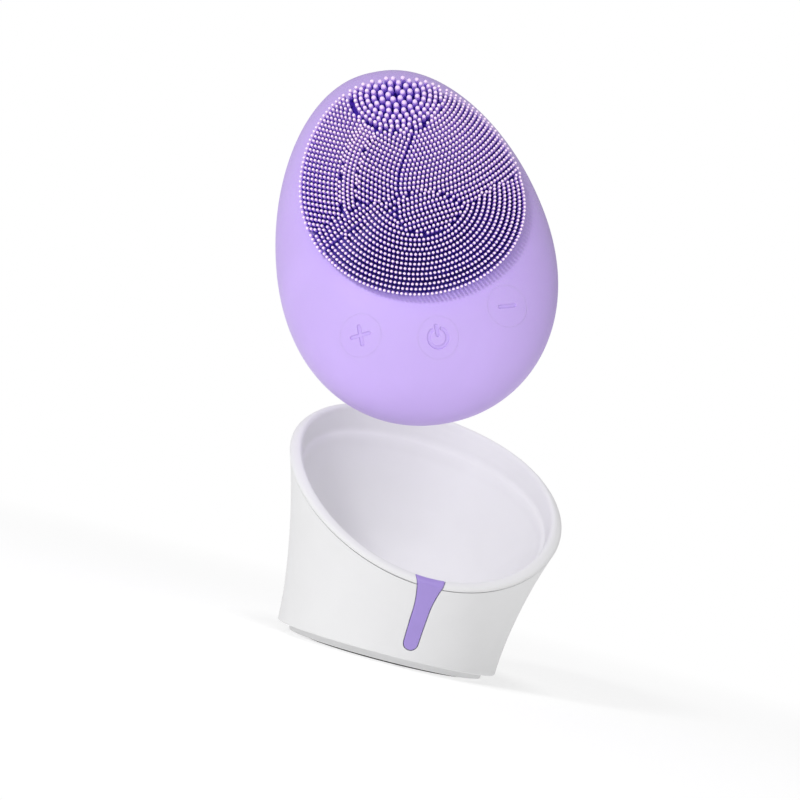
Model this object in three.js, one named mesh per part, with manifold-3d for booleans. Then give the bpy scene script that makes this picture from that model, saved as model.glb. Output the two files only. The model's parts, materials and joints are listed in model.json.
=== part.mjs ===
// Facial cleansing brush with its charging stand, in millimetres, +Z up.
// The origin is the centre of the stand's underside. The stand's low front edge faces -Y.
// The brush is modelled upright in its own frame: +X to its right, +Y up, +Z out of its bristled face.
// It is drawn as lifted out of the stand; the lift is one turn about LIFT_AXIS through LIFT_POLE.

import * as THREE from 'three';
import { mergeVertices } from 'three/addons/utils/BufferGeometryUtils.js';
import Module from 'manifold-3d';

const wasm = await Module();
wasm.setup();

// ---------------------------------------------------------------- driving dimensions

const GAP = 0.3; // assembly clearance between neighbouring pieces

// Brush body: an egg whose cross-sections are superellipses.
const EGG = {
  halfWidth: 36.5,
  halfHeight: 49.15,
  halfDepth: 22.7,
  widthTaper: 0.16, // how much narrower the top is than the bottom
  depthTaper: 0.1,
  squareness: 2.35, // of its cross-sections: 2 is an ellipse, more is squarer
  topSquareness: 2.11, // of its outline above the middle
};
const SKIN = 1.8; // silicone overmould
const CASE_WALL = 1.9; // rigid inner case
const SEAM_HALF_WIDTH = 0.9; // half the space that the case gasket fills

// Bristled face, an ellipse seen along the brush's +Z.
const BRISTLES = { halfWidth: 29.1, halfHeight: 31.7, centre: [1.3, 9.75], length: 4.8 };

// Buttons under the face.
const BUTTON_RADIUS = 5;
const BUTTON_DEPTH = 3.8;
const STEM_RADIUS = 1.6;
const PRESS_ROOM = 0.5; // between a button's stem and its switch
const BUTTON_PLACES = {
  plus: [-19.1, -26.1],
  power: [0, -30.9],
  minus: [19.1, -26.1],
};

// Circuit board and switches of the brush.
const BOARD = { low: 6.4, thick: 1.2, top: 2, bottom: -35.5 };
const SWITCH = { side: 6, height: 3.5, plungerRadius: 1.7, plungerHeight: 1 };

// Case screws, as places in the brush's XY plane.
const CASE_SCREWS = [[27, -10], [-27, -10], [16.5, 26], [-16.5, 26]];
const CASE_SCREW = { headRadius: 2, headLow: -10.2, neck: -8.7, shaftRadius: 1.1, tip: 6 };

// Vibration motor, lying along the brush's X.
const MOTOR = { y: 27, z: 3.5, radius: 5, from: -9, to: 5, shaftRadius: 0.9, shaftTo: 11.2 };
const WEIGHT = { from: 6.3, to: 10.3, radius: 4.3 };

// Stand.
const BASE_Z = 2.34; // underside of the outer wall
const BASE_RADIUS = 30.2;
const RIM_RADIUS = 38.85;
const EDGE_RADIUS = 38.55; // the outer wall's top edge, under the lip
const RIM_Z = 49.5; // height of the rim's crown at the stand's left and right
const RIM_SLOPE = Math.tan(THREE.MathUtils.degToRad(30.4));
const RIM_SAG = 3.35; // how far the rim's front and back dip below its plane
const RIM_SQUASH = 0.03; // how much shorter the rim is front to back
const RIM_SHIFT = 1.46; // the rim's centre lies this far back
const FLARE = 1.6; // power of the outer wall's concave flare
const STAND_WALL = 1.4;
const BOWL_WALL = 0.9;
const LIP_DROP = 2.2; // depth of the rim piece's outer edge, below the crown
const LIP_OVERLAP = 1.9; // how far the rim piece's underside reaches in over the outer wall's edge
const FLOOR_Z = 19.4; // floor of the cup
const CUP_FLOOR_WALL = 1.2; // the cup is this much thicker at its floor, as a share of its wall
const INLAY_THICK = 0.7;
const INLAY_BED = 1.0;

// Docking: how the brush leans in the stand, and the turn that lifts it out.
const DOCKED_LEAN = THREE.MathUtils.degToRad(12);
const DOCKED_CENTRE = new THREE.Vector3(0, 0.72, 68.57);
const LIFT_AXIS = new THREE.Vector3(0.014, -0.969, -0.247).normalize();
const LIFT_POLE = new THREE.Vector3(-96.0, 5.9, 42.7);
const LIFT_ANGLE = THREE.MathUtils.degToRad(27);

// Facets.
const EGG_SIDES = 28;
const EGG_RINGS = 12;
const STAND_SIDES = 36;

// ---------------------------------------------------------------- materials

function material(color, roughness, metalness = 0) {
  return new THREE.MeshStandardMaterial({ color, roughness, metalness });
}

const LILAC_SILICONE = material(0xb79be6, 0.55);
const WHITE_PLASTIC = material(0xe9e9ea, 0.35);
const GREY_PLASTIC = material(0x55565c, 0.6);
const BLACK_RUBBER = material(0x2a2a2c, 0.85);
const GREEN_BOARD = material(0x1e6b3a, 0.5);
const BLACK_CHIP = material(0x17171a, 0.45);
const STEEL = material(0xb9bcc2, 0.3, 1);
const COPPER = material(0xb46a3c, 0.35, 1);
const FERRITE = material(0x3b3b40, 0.7);
const CELL_WRAP = material(0x3f5fa8, 0.4);
const LENS = material(0xdfe8f2, 0.2);

// ---------------------------------------------------------------- solids

function solid(geometry) {
  const bare = geometry.clone();
  bare.deleteAttribute('normal');
  bare.deleteAttribute('uv');
  const merged = mergeVertices(bare, 1e-5);
  const mesh = new wasm.Mesh({
    numProp: 3,
    vertProperties: new Float32Array(merged.attributes.position.array),
    triVerts: new Uint32Array(merged.index.array),
  });
  return new wasm.Manifold(mesh);
}

function geometryOf(manifold) {
  const mesh = manifold.getMesh();
  const geometry = new THREE.BufferGeometry();
  const positions = new Float32Array(mesh.vertProperties);
  geometry.setAttribute('position', new THREE.BufferAttribute(positions, 3));
  geometry.setIndex(new THREE.BufferAttribute(new Uint32Array(mesh.triVerts), 1));
  return geometry;
}

// A closed surface through rings of points; a ring of one point is an end cap's apex.
// With loop set, the last ring joins the first, which closes a ring-shaped wall.
function loft(rings, loop = false) {
  const positions = [];
  const starts = [];
  for (const ring of rings) {
    starts.push(positions.length / 3);
    for (const point of ring) {
      positions.push(point.x, point.y, point.z);
    }
  }
  const triangles = [];
  const last = loop ? rings.length : rings.length - 1;
  for (let i = 0; i < last; i++) {
    const j = (i + 1) % rings.length;
    const sides = Math.max(rings[i].length, rings[j].length);
    for (let k = 0; k < sides; k++) {
      const next = (k + 1) % sides;
      const a = starts[i] + (k % rings[i].length);
      const b = starts[i] + (next % rings[i].length);
      const c = starts[j] + (next % rings[j].length);
      const d = starts[j] + (k % rings[j].length);
      if (a !== b) {
        triangles.push(a, b, c);
      }
      if (c !== d) {
        triangles.push(a, c, d);
      }
    }
  }
  const geometry = new THREE.BufferGeometry();
  geometry.setAttribute('position', new THREE.Float32BufferAttribute(positions, 3));
  geometry.setIndex(outwardFacing(positions, triangles));
  return geometry;
}

function outwardFacing(positions, triangles) {
  const corner = (index) => new THREE.Vector3().fromArray(positions, index * 3);
  let volume = 0;
  for (let i = 0; i < triangles.length; i += 3) {
    const cross = corner(triangles[i]).cross(corner(triangles[i + 1]));
    volume += cross.dot(corner(triangles[i + 2]));
  }
  return volume > 0 ? triangles : triangles.slice().reverse();
}

function box(low, high) {
  const size = [0, 1, 2].map((i) => high[i] - low[i]);
  const geometry = new THREE.BoxGeometry(...size);
  geometry.translate(...[0, 1, 2].map((i) => (high[i] + low[i]) / 2));
  return geometry;
}

// A cylinder along Z, at a place in the XY plane.
function post([x, y], radius, low, high, sides = 12) {
  const geometry = new THREE.CylinderGeometry(radius, radius, high - low, sides);
  geometry.rotateX(Math.PI / 2);
  geometry.translate(x, y, (low + high) / 2);
  return geometry;
}

// A cylinder along X, at a place in the YZ plane.
function rod([y, z], radius, from, to, sides = 16) {
  const geometry = new THREE.CylinderGeometry(radius, radius, to - from, sides);
  geometry.rotateZ(Math.PI / 2);
  geometry.translate((from + to) / 2, y, z);
  return geometry;
}

// A turned piece about Z; the profile is a list of [radius, height].
function turned(profile, sides = 24) {
  const points = profile.map(([radius, height]) => new THREE.Vector2(radius, height));
  const geometry = new THREE.LatheGeometry(points, sides);
  geometry.rotateX(Math.PI / 2);
  return solid(geometry).volume() > 0 ? geometry : flipped(geometry);
}

function flipped(geometry) {
  const index = Array.from(geometry.index.array).reverse();
  geometry.setIndex(index);
  return geometry;
}

// A flat ring about Z with a square section.
function washer(inner, outer, low, high, sides = 24) {
  return turned([[inner, low], [outer, low], [outer, high], [inner, high], [inner, low]], sides);
}

const root = new THREE.Group();
const brush = new THREE.Group();

function place(parent, name, geometry, finish) {
  const mesh = new THREE.Mesh(geometry, finish);
  mesh.name = name;
  parent.add(mesh);
  return mesh;
}

// ---------------------------------------------------------------- brush: the egg form

// The section of the egg at height y (as a fraction of its half height), shrunk by an inset.
function eggSection(fraction, inset) {
  const power = fraction > 0 ? EGG.topSquareness : 2;
  const round = Math.max(0, 1 - Math.abs(fraction) ** power) ** (1 / power);
  return {
    x: (EGG.halfWidth - inset) * (1 - EGG.widthTaper * fraction) * round,
    z: (EGG.halfDepth - inset) * (1 - EGG.depthTaper * fraction) * round,
  };
}

function eggForm(inset = 0) {
  const height = EGG.halfHeight - inset;
  const rings = [[new THREE.Vector3(0, -height, 0)]];
  for (let i = 1; i < EGG_RINGS; i++) {
    const fraction = -Math.cos((Math.PI * i) / EGG_RINGS);
    const section = eggSection(fraction, inset);
    const ring = [];
    for (let k = 0; k < EGG_SIDES; k++) {
      const angle = (2 * Math.PI * k) / EGG_SIDES;
      ring.push(new THREE.Vector3(
        section.x * superCosine(angle),
        height * fraction,
        section.z * superCosine(angle - Math.PI / 2),
      ));
    }
    rings.push(ring);
  }
  rings.push([new THREE.Vector3(0, height, 0)]);
  return solid(loft(rings));
}

function superCosine(angle) {
  const value = Math.cos(angle);
  const power = 2 / EGG.squareness;
  return Math.abs(value) < 1e-9 ? 0 : Math.sign(value) * Math.abs(value) ** power;
}

// Height of the egg's front surface above its middle plane.
function faceHeight([x, y]) {
  const section = eggSection(y / EGG.halfHeight, 0);
  const across = Math.abs(x / section.x) ** EGG.squareness;
  return section.z * (1 - across) ** (1 / EGG.squareness);
}

const FAR = 80; // beyond every surface of the brush

function frontSpace(from) {
  return solid(box([-FAR, -FAR, from], [FAR, FAR, FAR]));
}

function rearSpace(to) {
  return solid(box([-FAR, -FAR, -FAR], [FAR, FAR, to]));
}

// ---------------------------------------------------------------- brush: skins, case and seal

function buttonWells(radius) {
  return Object.values(BUTTON_PLACES).map((at) => solid(post(at, radius, 0, FAR, 16)));
}

function cutAll(body, cuts) {
  return cuts.reduce((left, cut) => left.subtract(cut), body);
}

function addAll(body, extras) {
  return extras.reduce((whole, extra) => whole.add(extra), body);
}

function skinsAndCase() {
  const outer = eggForm();
  const underSkin = eggForm(SKIN);
  const caseOuter = eggForm(SKIN + GAP);
  const caseInner = eggForm(SKIN + GAP + CASE_WALL);
  const caseMiddle = eggForm(SKIN + GAP + CASE_WALL / 2);
  const skin = outer.subtract(underSkin);
  const casing = caseOuter.subtract(caseInner);
  const wells = buttonWells(BUTTON_RADIUS + GAP);

  const frontSkin = cutAll(skin.intersect(frontSpace(GAP / 2)), wells);
  place(brush, 'front_silicone_skin', geometryOf(frontSkin), LILAC_SILICONE);
  place(brush, 'rear_silicone_skin', geometryOf(skin.intersect(rearSpace(-GAP / 2))), LILAC_SILICONE);

  const frontPosts = CASE_SCREWS.map((at) => solid(post(at, 2.8, SEAM_HALF_WIDTH, FAR)));
  const frontBosses = frontPosts.map((boss) => boss.intersect(caseMiddle));
  const pilotHoles = CASE_SCREWS.map((at) => (
    solid(post(at, CASE_SCREW.shaftRadius + GAP, 0, CASE_SCREW.tip + GAP))
  ));
  const frontCase = addAll(casing.intersect(frontSpace(SEAM_HALF_WIDTH)), frontBosses);
  const frontCuts = [...wells, ...pilotHoles];
  place(brush, 'inner_front_case', geometryOf(cutAll(frontCase, frontCuts)), WHITE_PLASTIC);

  const rearBosses = CASE_SCREWS.map((at) => (
    solid(post(at, 3.2, -FAR, -SEAM_HALF_WIDTH)).intersect(caseMiddle)
  ));
  const clearances = CASE_SCREWS.map((at) => solid(post(at, CASE_SCREW.shaftRadius + GAP, -FAR, 0)));
  const counterbores = CASE_SCREWS.map((at) => (
    solid(post(at, CASE_SCREW.headRadius + GAP, -FAR, CASE_SCREW.neck + GAP))
  ));
  const rearCase = addAll(casing.intersect(rearSpace(-SEAM_HALF_WIDTH)), rearBosses);
  const rearCuts = [...clearances, ...counterbores];
  place(brush, 'inner_rear_case', geometryOf(cutAll(rearCase, rearCuts)), WHITE_PLASTIC);

  const sealBand = eggForm(SKIN + 2 * GAP).subtract(eggForm(SKIN + CASE_WALL));
  const half = SEAM_HALF_WIDTH - GAP;
  const seal = sealBand.intersect(frontSpace(-half)).intersect(rearSpace(half));
  place(brush, 'case_gasket', geometryOf(seal), BLACK_RUBBER);
}

function caseScrews() {
  CASE_SCREWS.forEach((at, i) => {
    const head = solid(post(at, CASE_SCREW.headRadius, CASE_SCREW.headLow, CASE_SCREW.neck, 12));
    const shaft = solid(post(at, CASE_SCREW.shaftRadius, CASE_SCREW.neck - 0.2, CASE_SCREW.tip, 10));
    place(brush, `case_screw_${i + 1}`, geometryOf(head.add(shaft)), STEEL);
  });
}

// The bristled face as one soft block: it follows the skin and stands a bristle's length above it.
function bristleField() {
  const ellipse = new THREE.CylinderGeometry(1, 1, FAR, 32);
  ellipse.rotateX(Math.PI / 2);
  ellipse.scale(BRISTLES.halfWidth, BRISTLES.halfHeight, 1);
  ellipse.translate(...BRISTLES.centre, FAR / 2);
  const tips = eggForm().translate([0, 0, BRISTLES.length]);
  const roots = eggForm().translate([0, 0, GAP]);
  const field = tips.intersect(solid(ellipse)).subtract(roots);
  place(brush, 'bristle_field', geometryOf(field), LILAC_SILICONE);
}

// ---------------------------------------------------------------- brush: buttons and electronics

const BOARD_TOP = BOARD.low + BOARD.thick;
const SWITCH_TOP = BOARD_TOP + GAP + SWITCH.height + SWITCH.plungerHeight;

function buttonAndSwitch(name, at) {
  const capLow = faceHeight(at) - BUTTON_DEPTH;
  const cap = solid(post(at, BUTTON_RADIUS, capLow, FAR, 16)).intersect(eggForm());
  const stem = solid(post(at, STEM_RADIUS, SWITCH_TOP + PRESS_ROOM, capLow + 0.5, 12));
  place(brush, `${name}_button`, geometryOf(cap.add(stem)), LILAC_SILICONE);

  const half = SWITCH.side / 2;
  const low = BOARD_TOP + GAP;
  const body = solid(box(
    [at[0] - half, at[1] - half, low],
    [at[0] + half, at[1] + half, low + SWITCH.height],
  ));
  const plunger = solid(post(at, SWITCH.plungerRadius, low + 1, SWITCH_TOP, 12));
  place(brush, `${name}_switch`, geometryOf(body.add(plunger)), BLACK_CHIP);
}

function circuitBoard() {
  const inside = eggForm(SKIN + CASE_WALL + 3 * GAP);
  const slab = solid(box([-FAR, BOARD.bottom, BOARD.low], [FAR, BOARD.top, BOARD_TOP]));
  const notches = CASE_SCREWS.map((at) => solid(post(at, 3.2, 0, FAR)));
  place(brush, 'main_board', geometryOf(cutAll(inside.intersect(slab), notches)), GREEN_BOARD);

  const onBoard = BOARD_TOP + GAP;
  place(brush, 'controller_chip', box([3, -15, onBoard], [9, -9, onBoard + 1]), BLACK_CHIP);
  place(brush, 'status_led', box([-1.2, -23.2, onBoard], [1.2, -21.8, onBoard + 0.8]), LENS);
  place(brush, 'battery_connector', box([-14, -8, onBoard], [-7, -3.5, onBoard + 3.2]), WHITE_PLASTIC);
}

function battery() {
  const outline = new THREE.Shape();
  const [halfX, low, high, corner] = [12.5, -21, 14, 2.5];
  outline.moveTo(-halfX + corner, low);
  outline.lineTo(halfX - corner, low);
  outline.absarc(halfX - corner, low + corner, corner, -Math.PI / 2, 0);
  outline.lineTo(halfX, high - corner);
  outline.absarc(halfX - corner, high - corner, corner, 0, Math.PI / 2);
  outline.lineTo(-halfX + corner, high);
  outline.absarc(-halfX + corner, high - corner, corner, Math.PI / 2, Math.PI);
  outline.lineTo(-halfX, low + corner);
  outline.absarc(-halfX + corner, low + corner, corner, Math.PI, 1.5 * Math.PI);
  const solidCell = { depth: 7.4, bevelEnabled: false, curveSegments: 4 };
  const cell = new THREE.ExtrudeGeometry(outline, solidCell);
  cell.translate(0, 0, -13.8);
  place(brush, 'battery_cell', cell, CELL_WRAP);
  place(brush, 'battery_foam_pad', box([-8, -14, -15.6], [8, 8, -14.1]), BLACK_RUBBER);
}

function motor() {
  const at = [MOTOR.y, MOTOR.z];
  const sleeveRadius = MOTOR.radius + GAP + 1;
  const can = solid(rod(at, MOTOR.radius, MOTOR.from, MOTOR.to));
  const bore = solid(rod(at, MOTOR.shaftRadius + GAP, MOTOR.to - 4, MOTOR.to + 1, 12));
  place(brush, 'motor_can', geometryOf(can.subtract(bore)), STEEL);
  place(brush, 'motor_shaft', rod(at, MOTOR.shaftRadius, MOTOR.to - 3.5, MOTOR.shaftTo, 12), STEEL);

  const disc = solid(rod(at, WEIGHT.radius, WEIGHT.from, WEIGHT.to));
  const above = solid(box([0, MOTOR.y + 1.8, -FAR], [FAR, FAR, FAR]));
  const weightBore = solid(rod(at, MOTOR.shaftRadius + GAP, 0, FAR, 12));
  place(brush, 'eccentric_weight', geometryOf(disc.subtract(above).subtract(weightBore)), COPPER);

  const sleeve = solid(rod(at, sleeveRadius, MOTOR.from + 1.5, MOTOR.to - 1.5));
  const canSpace = solid(rod(at, MOTOR.radius + GAP, -FAR, FAR));
  place(brush, 'motor_sleeve', geometryOf(sleeve.subtract(canSpace)), BLACK_RUBBER);

  const inside = eggForm(SKIN + CASE_WALL + 3 * GAP);
  const block = solid(box(
    [MOTOR.from + 2.5, MOTOR.y - 7, MOTOR.z + 1.5],
    [MOTOR.to - 2.5, MOTOR.y + 7, FAR],
  ));
  const sleeveSpace = solid(rod(at, sleeveRadius + GAP, -FAR, FAR));
  const cradle = block.intersect(inside).subtract(sleeveSpace);
  place(brush, 'motor_cradle', geometryOf(cradle), GREY_PLASTIC);
}

// The receiving coil lies across the brush's lower end, under a ferrite disc.
function receiver() {
  const coil = washer(4.2, 9, 0, 1.4);
  const shield = washer(0.8, 9, 0, 0.8);
  place(brush, 'receiver_coil', coil.rotateX(-Math.PI / 2).translate(0, -39.3, 0), COPPER);
  place(brush, 'receiver_ferrite', shield.rotateX(-Math.PI / 2).translate(0, -37.5, 0), FERRITE);
}

// ---------------------------------------------------------------- stand: its curved walls

const angles = Array.from({ length: STAND_SIDES }, (_, k) => (2 * Math.PI * k) / STAND_SIDES);

function rimHeight(angle) {
  const sine = Math.sin(angle);
  return RIM_Z + RIM_RADIUS * (1 - RIM_SQUASH) * sine * RIM_SLOPE - RIM_SAG * sine * sine;
}

// A point at a polar angle and radius; share is 0 at the base and 1 at the rim, where the plan
// is slightly squashed and shifted back.
function planPoint(angle, radius, share, height) {
  const squash = 1 - RIM_SQUASH * share;
  return new THREE.Vector3(
    radius * Math.cos(angle),
    radius * squash * Math.sin(angle) + RIM_SHIFT * share,
    height,
  );
}

// A ring of the outer wall, inset from its outside; share is 0 at the base and 1 at its top edge,
// which lies a drop below the rim.
function wallRing(share, drop, inset) {
  const flare = share ** FLARE;
  const radius = BASE_RADIUS + (EDGE_RADIUS - BASE_RADIUS) * flare - inset;
  return angles.map((angle) => {
    const height = BASE_Z + share * (rimHeight(angle) - drop - BASE_Z);
    return planPoint(angle, radius, flare, height);
  });
}

// The lip of the rim: inset from the rim's outer edge, and drop below its crown. It is a broad
// bevel that falls outward from a crown near its inner edge.
const LIP = [[0.05, 1.75], [0.35, 1.1], [1.1, 0.45], [1.9, 0.05], [2.45, 0], [3.0, 0.35]];

function lipRing([inset, drop], sink) {
  return angles.map((angle) => (
    planPoint(angle, RIM_RADIUS - inset, 1, rimHeight(angle) - drop - sink)
  ));
}

// The cup's inside: radius and the fraction of the height from the floor to the inner rim edge.
// It drops steeply as a collar to a narrow ledge, and below that becomes a rounded bowl.
const CUP = [
  [35.3, 0.95], [35.0, 0.89], [34.65, 0.835], [34.1, 0.815], [33.1, 0.73],
  [31.3, 0.6], [28.3, 0.4], [24, 0.2], [18, 0.07], [10, 0.02],
];

function cupRing([radius, fraction], inset) {
  return angles.map((angle) => {
    const edge = rimHeight(angle) - LIP.at(-1)[1];
    const height = FLOOR_Z + fraction * (edge - FLOOR_Z);
    return planPoint(angle, radius + inset, fraction, height - inset * (CUP_FLOOR_WALL - fraction));
  });
}

function axisPoint(height) {
  return [new THREE.Vector3(0, 0, height)];
}

const WALL_SHARES = [0.03, 0.2, 0.4, 0.58, 0.75, 0.9, 1];

function outerWall() {
  const outside = WALL_SHARES.map((share) => wallRing(share, LIP_DROP + GAP, 0));
  const edge = [wallRing(0, LIP_DROP + GAP, 0.6)];
  const inside = [0, ...WALL_SHARES.slice(1)].map((share) => (
    wallRing(share, LIP_DROP + GAP, STAND_WALL)
  ));
  return solid(loft([...edge, ...outside, ...inside.reverse()], true));
}

function bowlWithRim() {
  const inside = [axisPoint(FLOOR_Z), ...CUP.slice().reverse().map((row) => cupRing(row, 0))];
  const lip = LIP.slice().reverse().map((row) => lipRing(row, 0));
  const lipEdge = wallRing(1, LIP_DROP, 0);
  const lipUnder = wallRing(1, LIP_DROP, LIP_OVERLAP);
  const under = CUP.map((row) => cupRing(row, BOWL_WALL));
  const underside = axisPoint(FLOOR_Z - CUP_FLOOR_WALL * BOWL_WALL);
  return solid(loft([...inside, ...lip, lipEdge, lipUnder, ...under, underside]));
}

// The stand's outside, from the base over the lip to the floor of the cup, moved in by a depth.
function standForm(depth) {
  const outside = [0, ...WALL_SHARES].map((share) => wallRing(share, LIP_DROP + depth, depth));
  const lip = LIP.map(([inset, drop]) => lipRing([Math.max(inset, depth), drop], depth));
  // Moved in, the steep rows just under the lip would fold over it, so they are left out.
  const inside = CUP.slice(depth > 0 ? 3 : 0).map((row) => cupRing(row, depth));
  return solid(loft([axisPoint(BASE_Z), ...outside, ...lip, ...inside, axisPoint(FLOOR_Z - 2 * depth)]));
}

// The inlay's outline from the front: a round-ended strip that flares towards the rim.
function inlayPrism(grow) {
  const end = 1.85 + grow;
  const endZ = 6.9;
  const neck = 2.05 + grow;
  const top = 3.85 + grow;
  const topZ = 24.2;
  const outline = new THREE.Shape();
  outline.moveTo(-end, endZ);
  outline.absarc(0, endZ, end, Math.PI, 2 * Math.PI);
  outline.lineTo(neck, 15.5);
  outline.quadraticCurveTo(neck + 0.1, 19.3, top, topZ);
  outline.lineTo(top + 0.4, topZ + 7);
  outline.lineTo(-top - 0.4, topZ + 7);
  outline.lineTo(-top, topZ);
  outline.quadraticCurveTo(-neck - 0.1, 19.3, -neck, 15.5);
  const strip = { depth: 20, bevelEnabled: false, curveSegments: 6 };
  const prism = new THREE.ExtrudeGeometry(outline, strip);
  prism.rotateX(Math.PI / 2);
  prism.translate(0, -25, 0);
  // It ends at the lip's inner edge, so none of it reaches down into the cup.
  const innerEdge = (RIM_RADIUS - LIP.at(-1)[0]) * (1 - RIM_SQUASH) - RIM_SHIFT - grow;
  const cup = solid(box([-FAR, -innerEdge, FLOOR_Z - 1.2], [FAR, 0, FAR]));
  return solid(prism).subtract(cup);
}

// ---------------------------------------------------------------- stand: pieces

const BASE_SCREW_CIRCLE = 24.7;
const BASE_SCREW_PLACES = [30, 150, 270].map((degrees) => {
  const angle = THREE.MathUtils.degToRad(degrees);
  return [BASE_SCREW_CIRCLE * Math.cos(angle), BASE_SCREW_CIRCLE * Math.sin(angle)];
});
const BASE_SCREW = { headRadius: 1.2, headLow: 0.9, neck: 1.9, shaftRadius: 0.7, tip: 8 };
const SOCKET = { halfX: 4.5, low: 9.1, high: 12.3, from: 20, to: 29.2 };

function standShells() {
  const bed = inlayPrism(GAP).subtract(standForm(INLAY_BED));
  const bosses = BASE_SCREW_PLACES.map((at) => solid(post(at, 2.4, 4.8, 12)));
  const ribs = BASE_SCREW_PLACES.map(([x, y]) => {
    const rib = box([25, -0.8, 4.8], [29.2, 0.8, 11]);
    rib.rotateZ(Math.atan2(y, x));
    return solid(rib);
  });
  const pilots = BASE_SCREW_PLACES.map((at) => (
    solid(post(at, BASE_SCREW.shaftRadius + GAP, 0, 8.6, 10))
  ));
  const slot = solid(box(
    [-SOCKET.halfX - GAP, 27, SOCKET.low - GAP],
    [SOCKET.halfX + GAP, 40, SOCKET.high + GAP],
  ));
  const shell = cutAll(addAll(outerWall(), [...bosses, ...ribs]), [bed, slot, ...pilots]);
  place(root, 'stand_outer_shell', geometryOf(shell), WHITE_PLASTIC);
  place(root, 'stand_bowl', geometryOf(bowlWithRim().subtract(bed)), WHITE_PLASTIC);

  const layer = standForm(0).subtract(standForm(INLAY_THICK));
  place(root, 'front_inlay', geometryOf(layer.intersect(inlayPrism(0))), LILAC_SILICONE);
}

function standBase() {
  const [padRadius, footRadius, flangeRadius] = [22.4, 26.6, 28.3];
  const plate = turned([
    [0, 1.2],
    [padRadius + GAP, 1.2],
    [padRadius + GAP, 0.6],
    [footRadius, 0.6],
    [footRadius, 2.6],
    [flangeRadius, 2.6],
    [flangeRadius, 4.2],
    [0, 4.2],
  ], 32);
  const holes = BASE_SCREW_PLACES.map((at) => (
    solid(post(at, BASE_SCREW.shaftRadius + GAP, 0, 9, 10))
  ));
  const recesses = BASE_SCREW_PLACES.map((at) => (
    solid(post(at, BASE_SCREW.headRadius + GAP, 0, BASE_SCREW.neck + GAP, 12))
  ));
  const cuts = [...holes, ...recesses];
  place(root, 'base_plate', geometryOf(cutAll(solid(plate), cuts)), WHITE_PLASTIC);
  place(root, 'foot_pad', post([0, 0], padRadius, 0, 1.2 - GAP, 32), BLACK_RUBBER);

  BASE_SCREW_PLACES.forEach((at, i) => {
    const head = solid(post(at, BASE_SCREW.headRadius, BASE_SCREW.headLow, BASE_SCREW.neck, 12));
    const shaft = solid(post(at, BASE_SCREW.shaftRadius, BASE_SCREW.neck - 0.2, BASE_SCREW.tip, 10));
    place(root, `base_screw_${i + 1}`, geometryOf(head.add(shaft)), STEEL);
  });
}

function standElectronics() {
  place(root, 'ballast_ring', washer(6, 21, 4.5, 6.8), STEEL);

  const disc = solid(post([0, 0], 19, 7.2, 8.4, 24));
  const tongue = solid(box([-7, 10, 7.2], [7, 26.5, 8.4]));
  place(root, 'stand_board', geometryOf(disc.add(tongue)), GREEN_BOARD);
  place(root, 'charger_chip', box([-3, -17, 8.7], [3, -13, 9.7]), BLACK_CHIP);

  const { halfX, low, high, from, to } = SOCKET;
  const tube = solid(box([-halfX, from, low], [halfX, to, high]));
  const mouth = solid(box([-halfX + 0.4, from + 2, low + 0.4], [halfX - 0.4, to + 1, high - 0.4]));
  const tongueBlade = solid(box([-3.3, from + 1, 10.4], [3.3, to - 0.8, 11]));
  place(root, 'usb_c_socket', geometryOf(tube.subtract(mouth).add(tongueBlade)), STEEL);

  place(root, 'coil_carrier', washer(7, 10, 8.7, 13.1), GREY_PLASTIC);
  place(root, 'transmitter_ferrite', post([0, 0], 13, 13.4, 14.6, 24), FERRITE);
  place(root, 'transmitter_coil', washer(5, 12.4, 14.9, 16.9), COPPER);
}

// ---------------------------------------------------------------- assembly

skinsAndCase();
caseScrews();
bristleField();
for (const [name, at] of Object.entries(BUTTON_PLACES)) {
  buttonAndSwitch(name, at);
}
circuitBoard();
battery();
motor();
receiver();

standShells();
standBase();
standElectronics();

// Docked, the brush's +Y leans back and its face looks to -Y; the lift then turns it out.
const sideways = new THREE.Vector3(1, 0, 0);
const docked = new THREE.Quaternion().setFromAxisAngle(sideways, Math.PI / 2 - DOCKED_LEAN);
const lift = new THREE.Quaternion().setFromAxisAngle(LIFT_AXIS, LIFT_ANGLE);
brush.quaternion.copy(lift.clone().multiply(docked));
brush.position.copy(DOCKED_CENTRE).sub(LIFT_POLE).applyQuaternion(lift).add(LIFT_POLE);
root.add(brush);

export default root;
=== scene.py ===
"""Facial cleansing brush above its charging stand: the looks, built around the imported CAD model.

Shapes are worked out in millimetres and turned into metres when a mesh is made. The brush is modelled
in its own frame, +X to its right, +Y up and +Z out of its bristled face, and then placed in the model.
"""

import math

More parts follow.
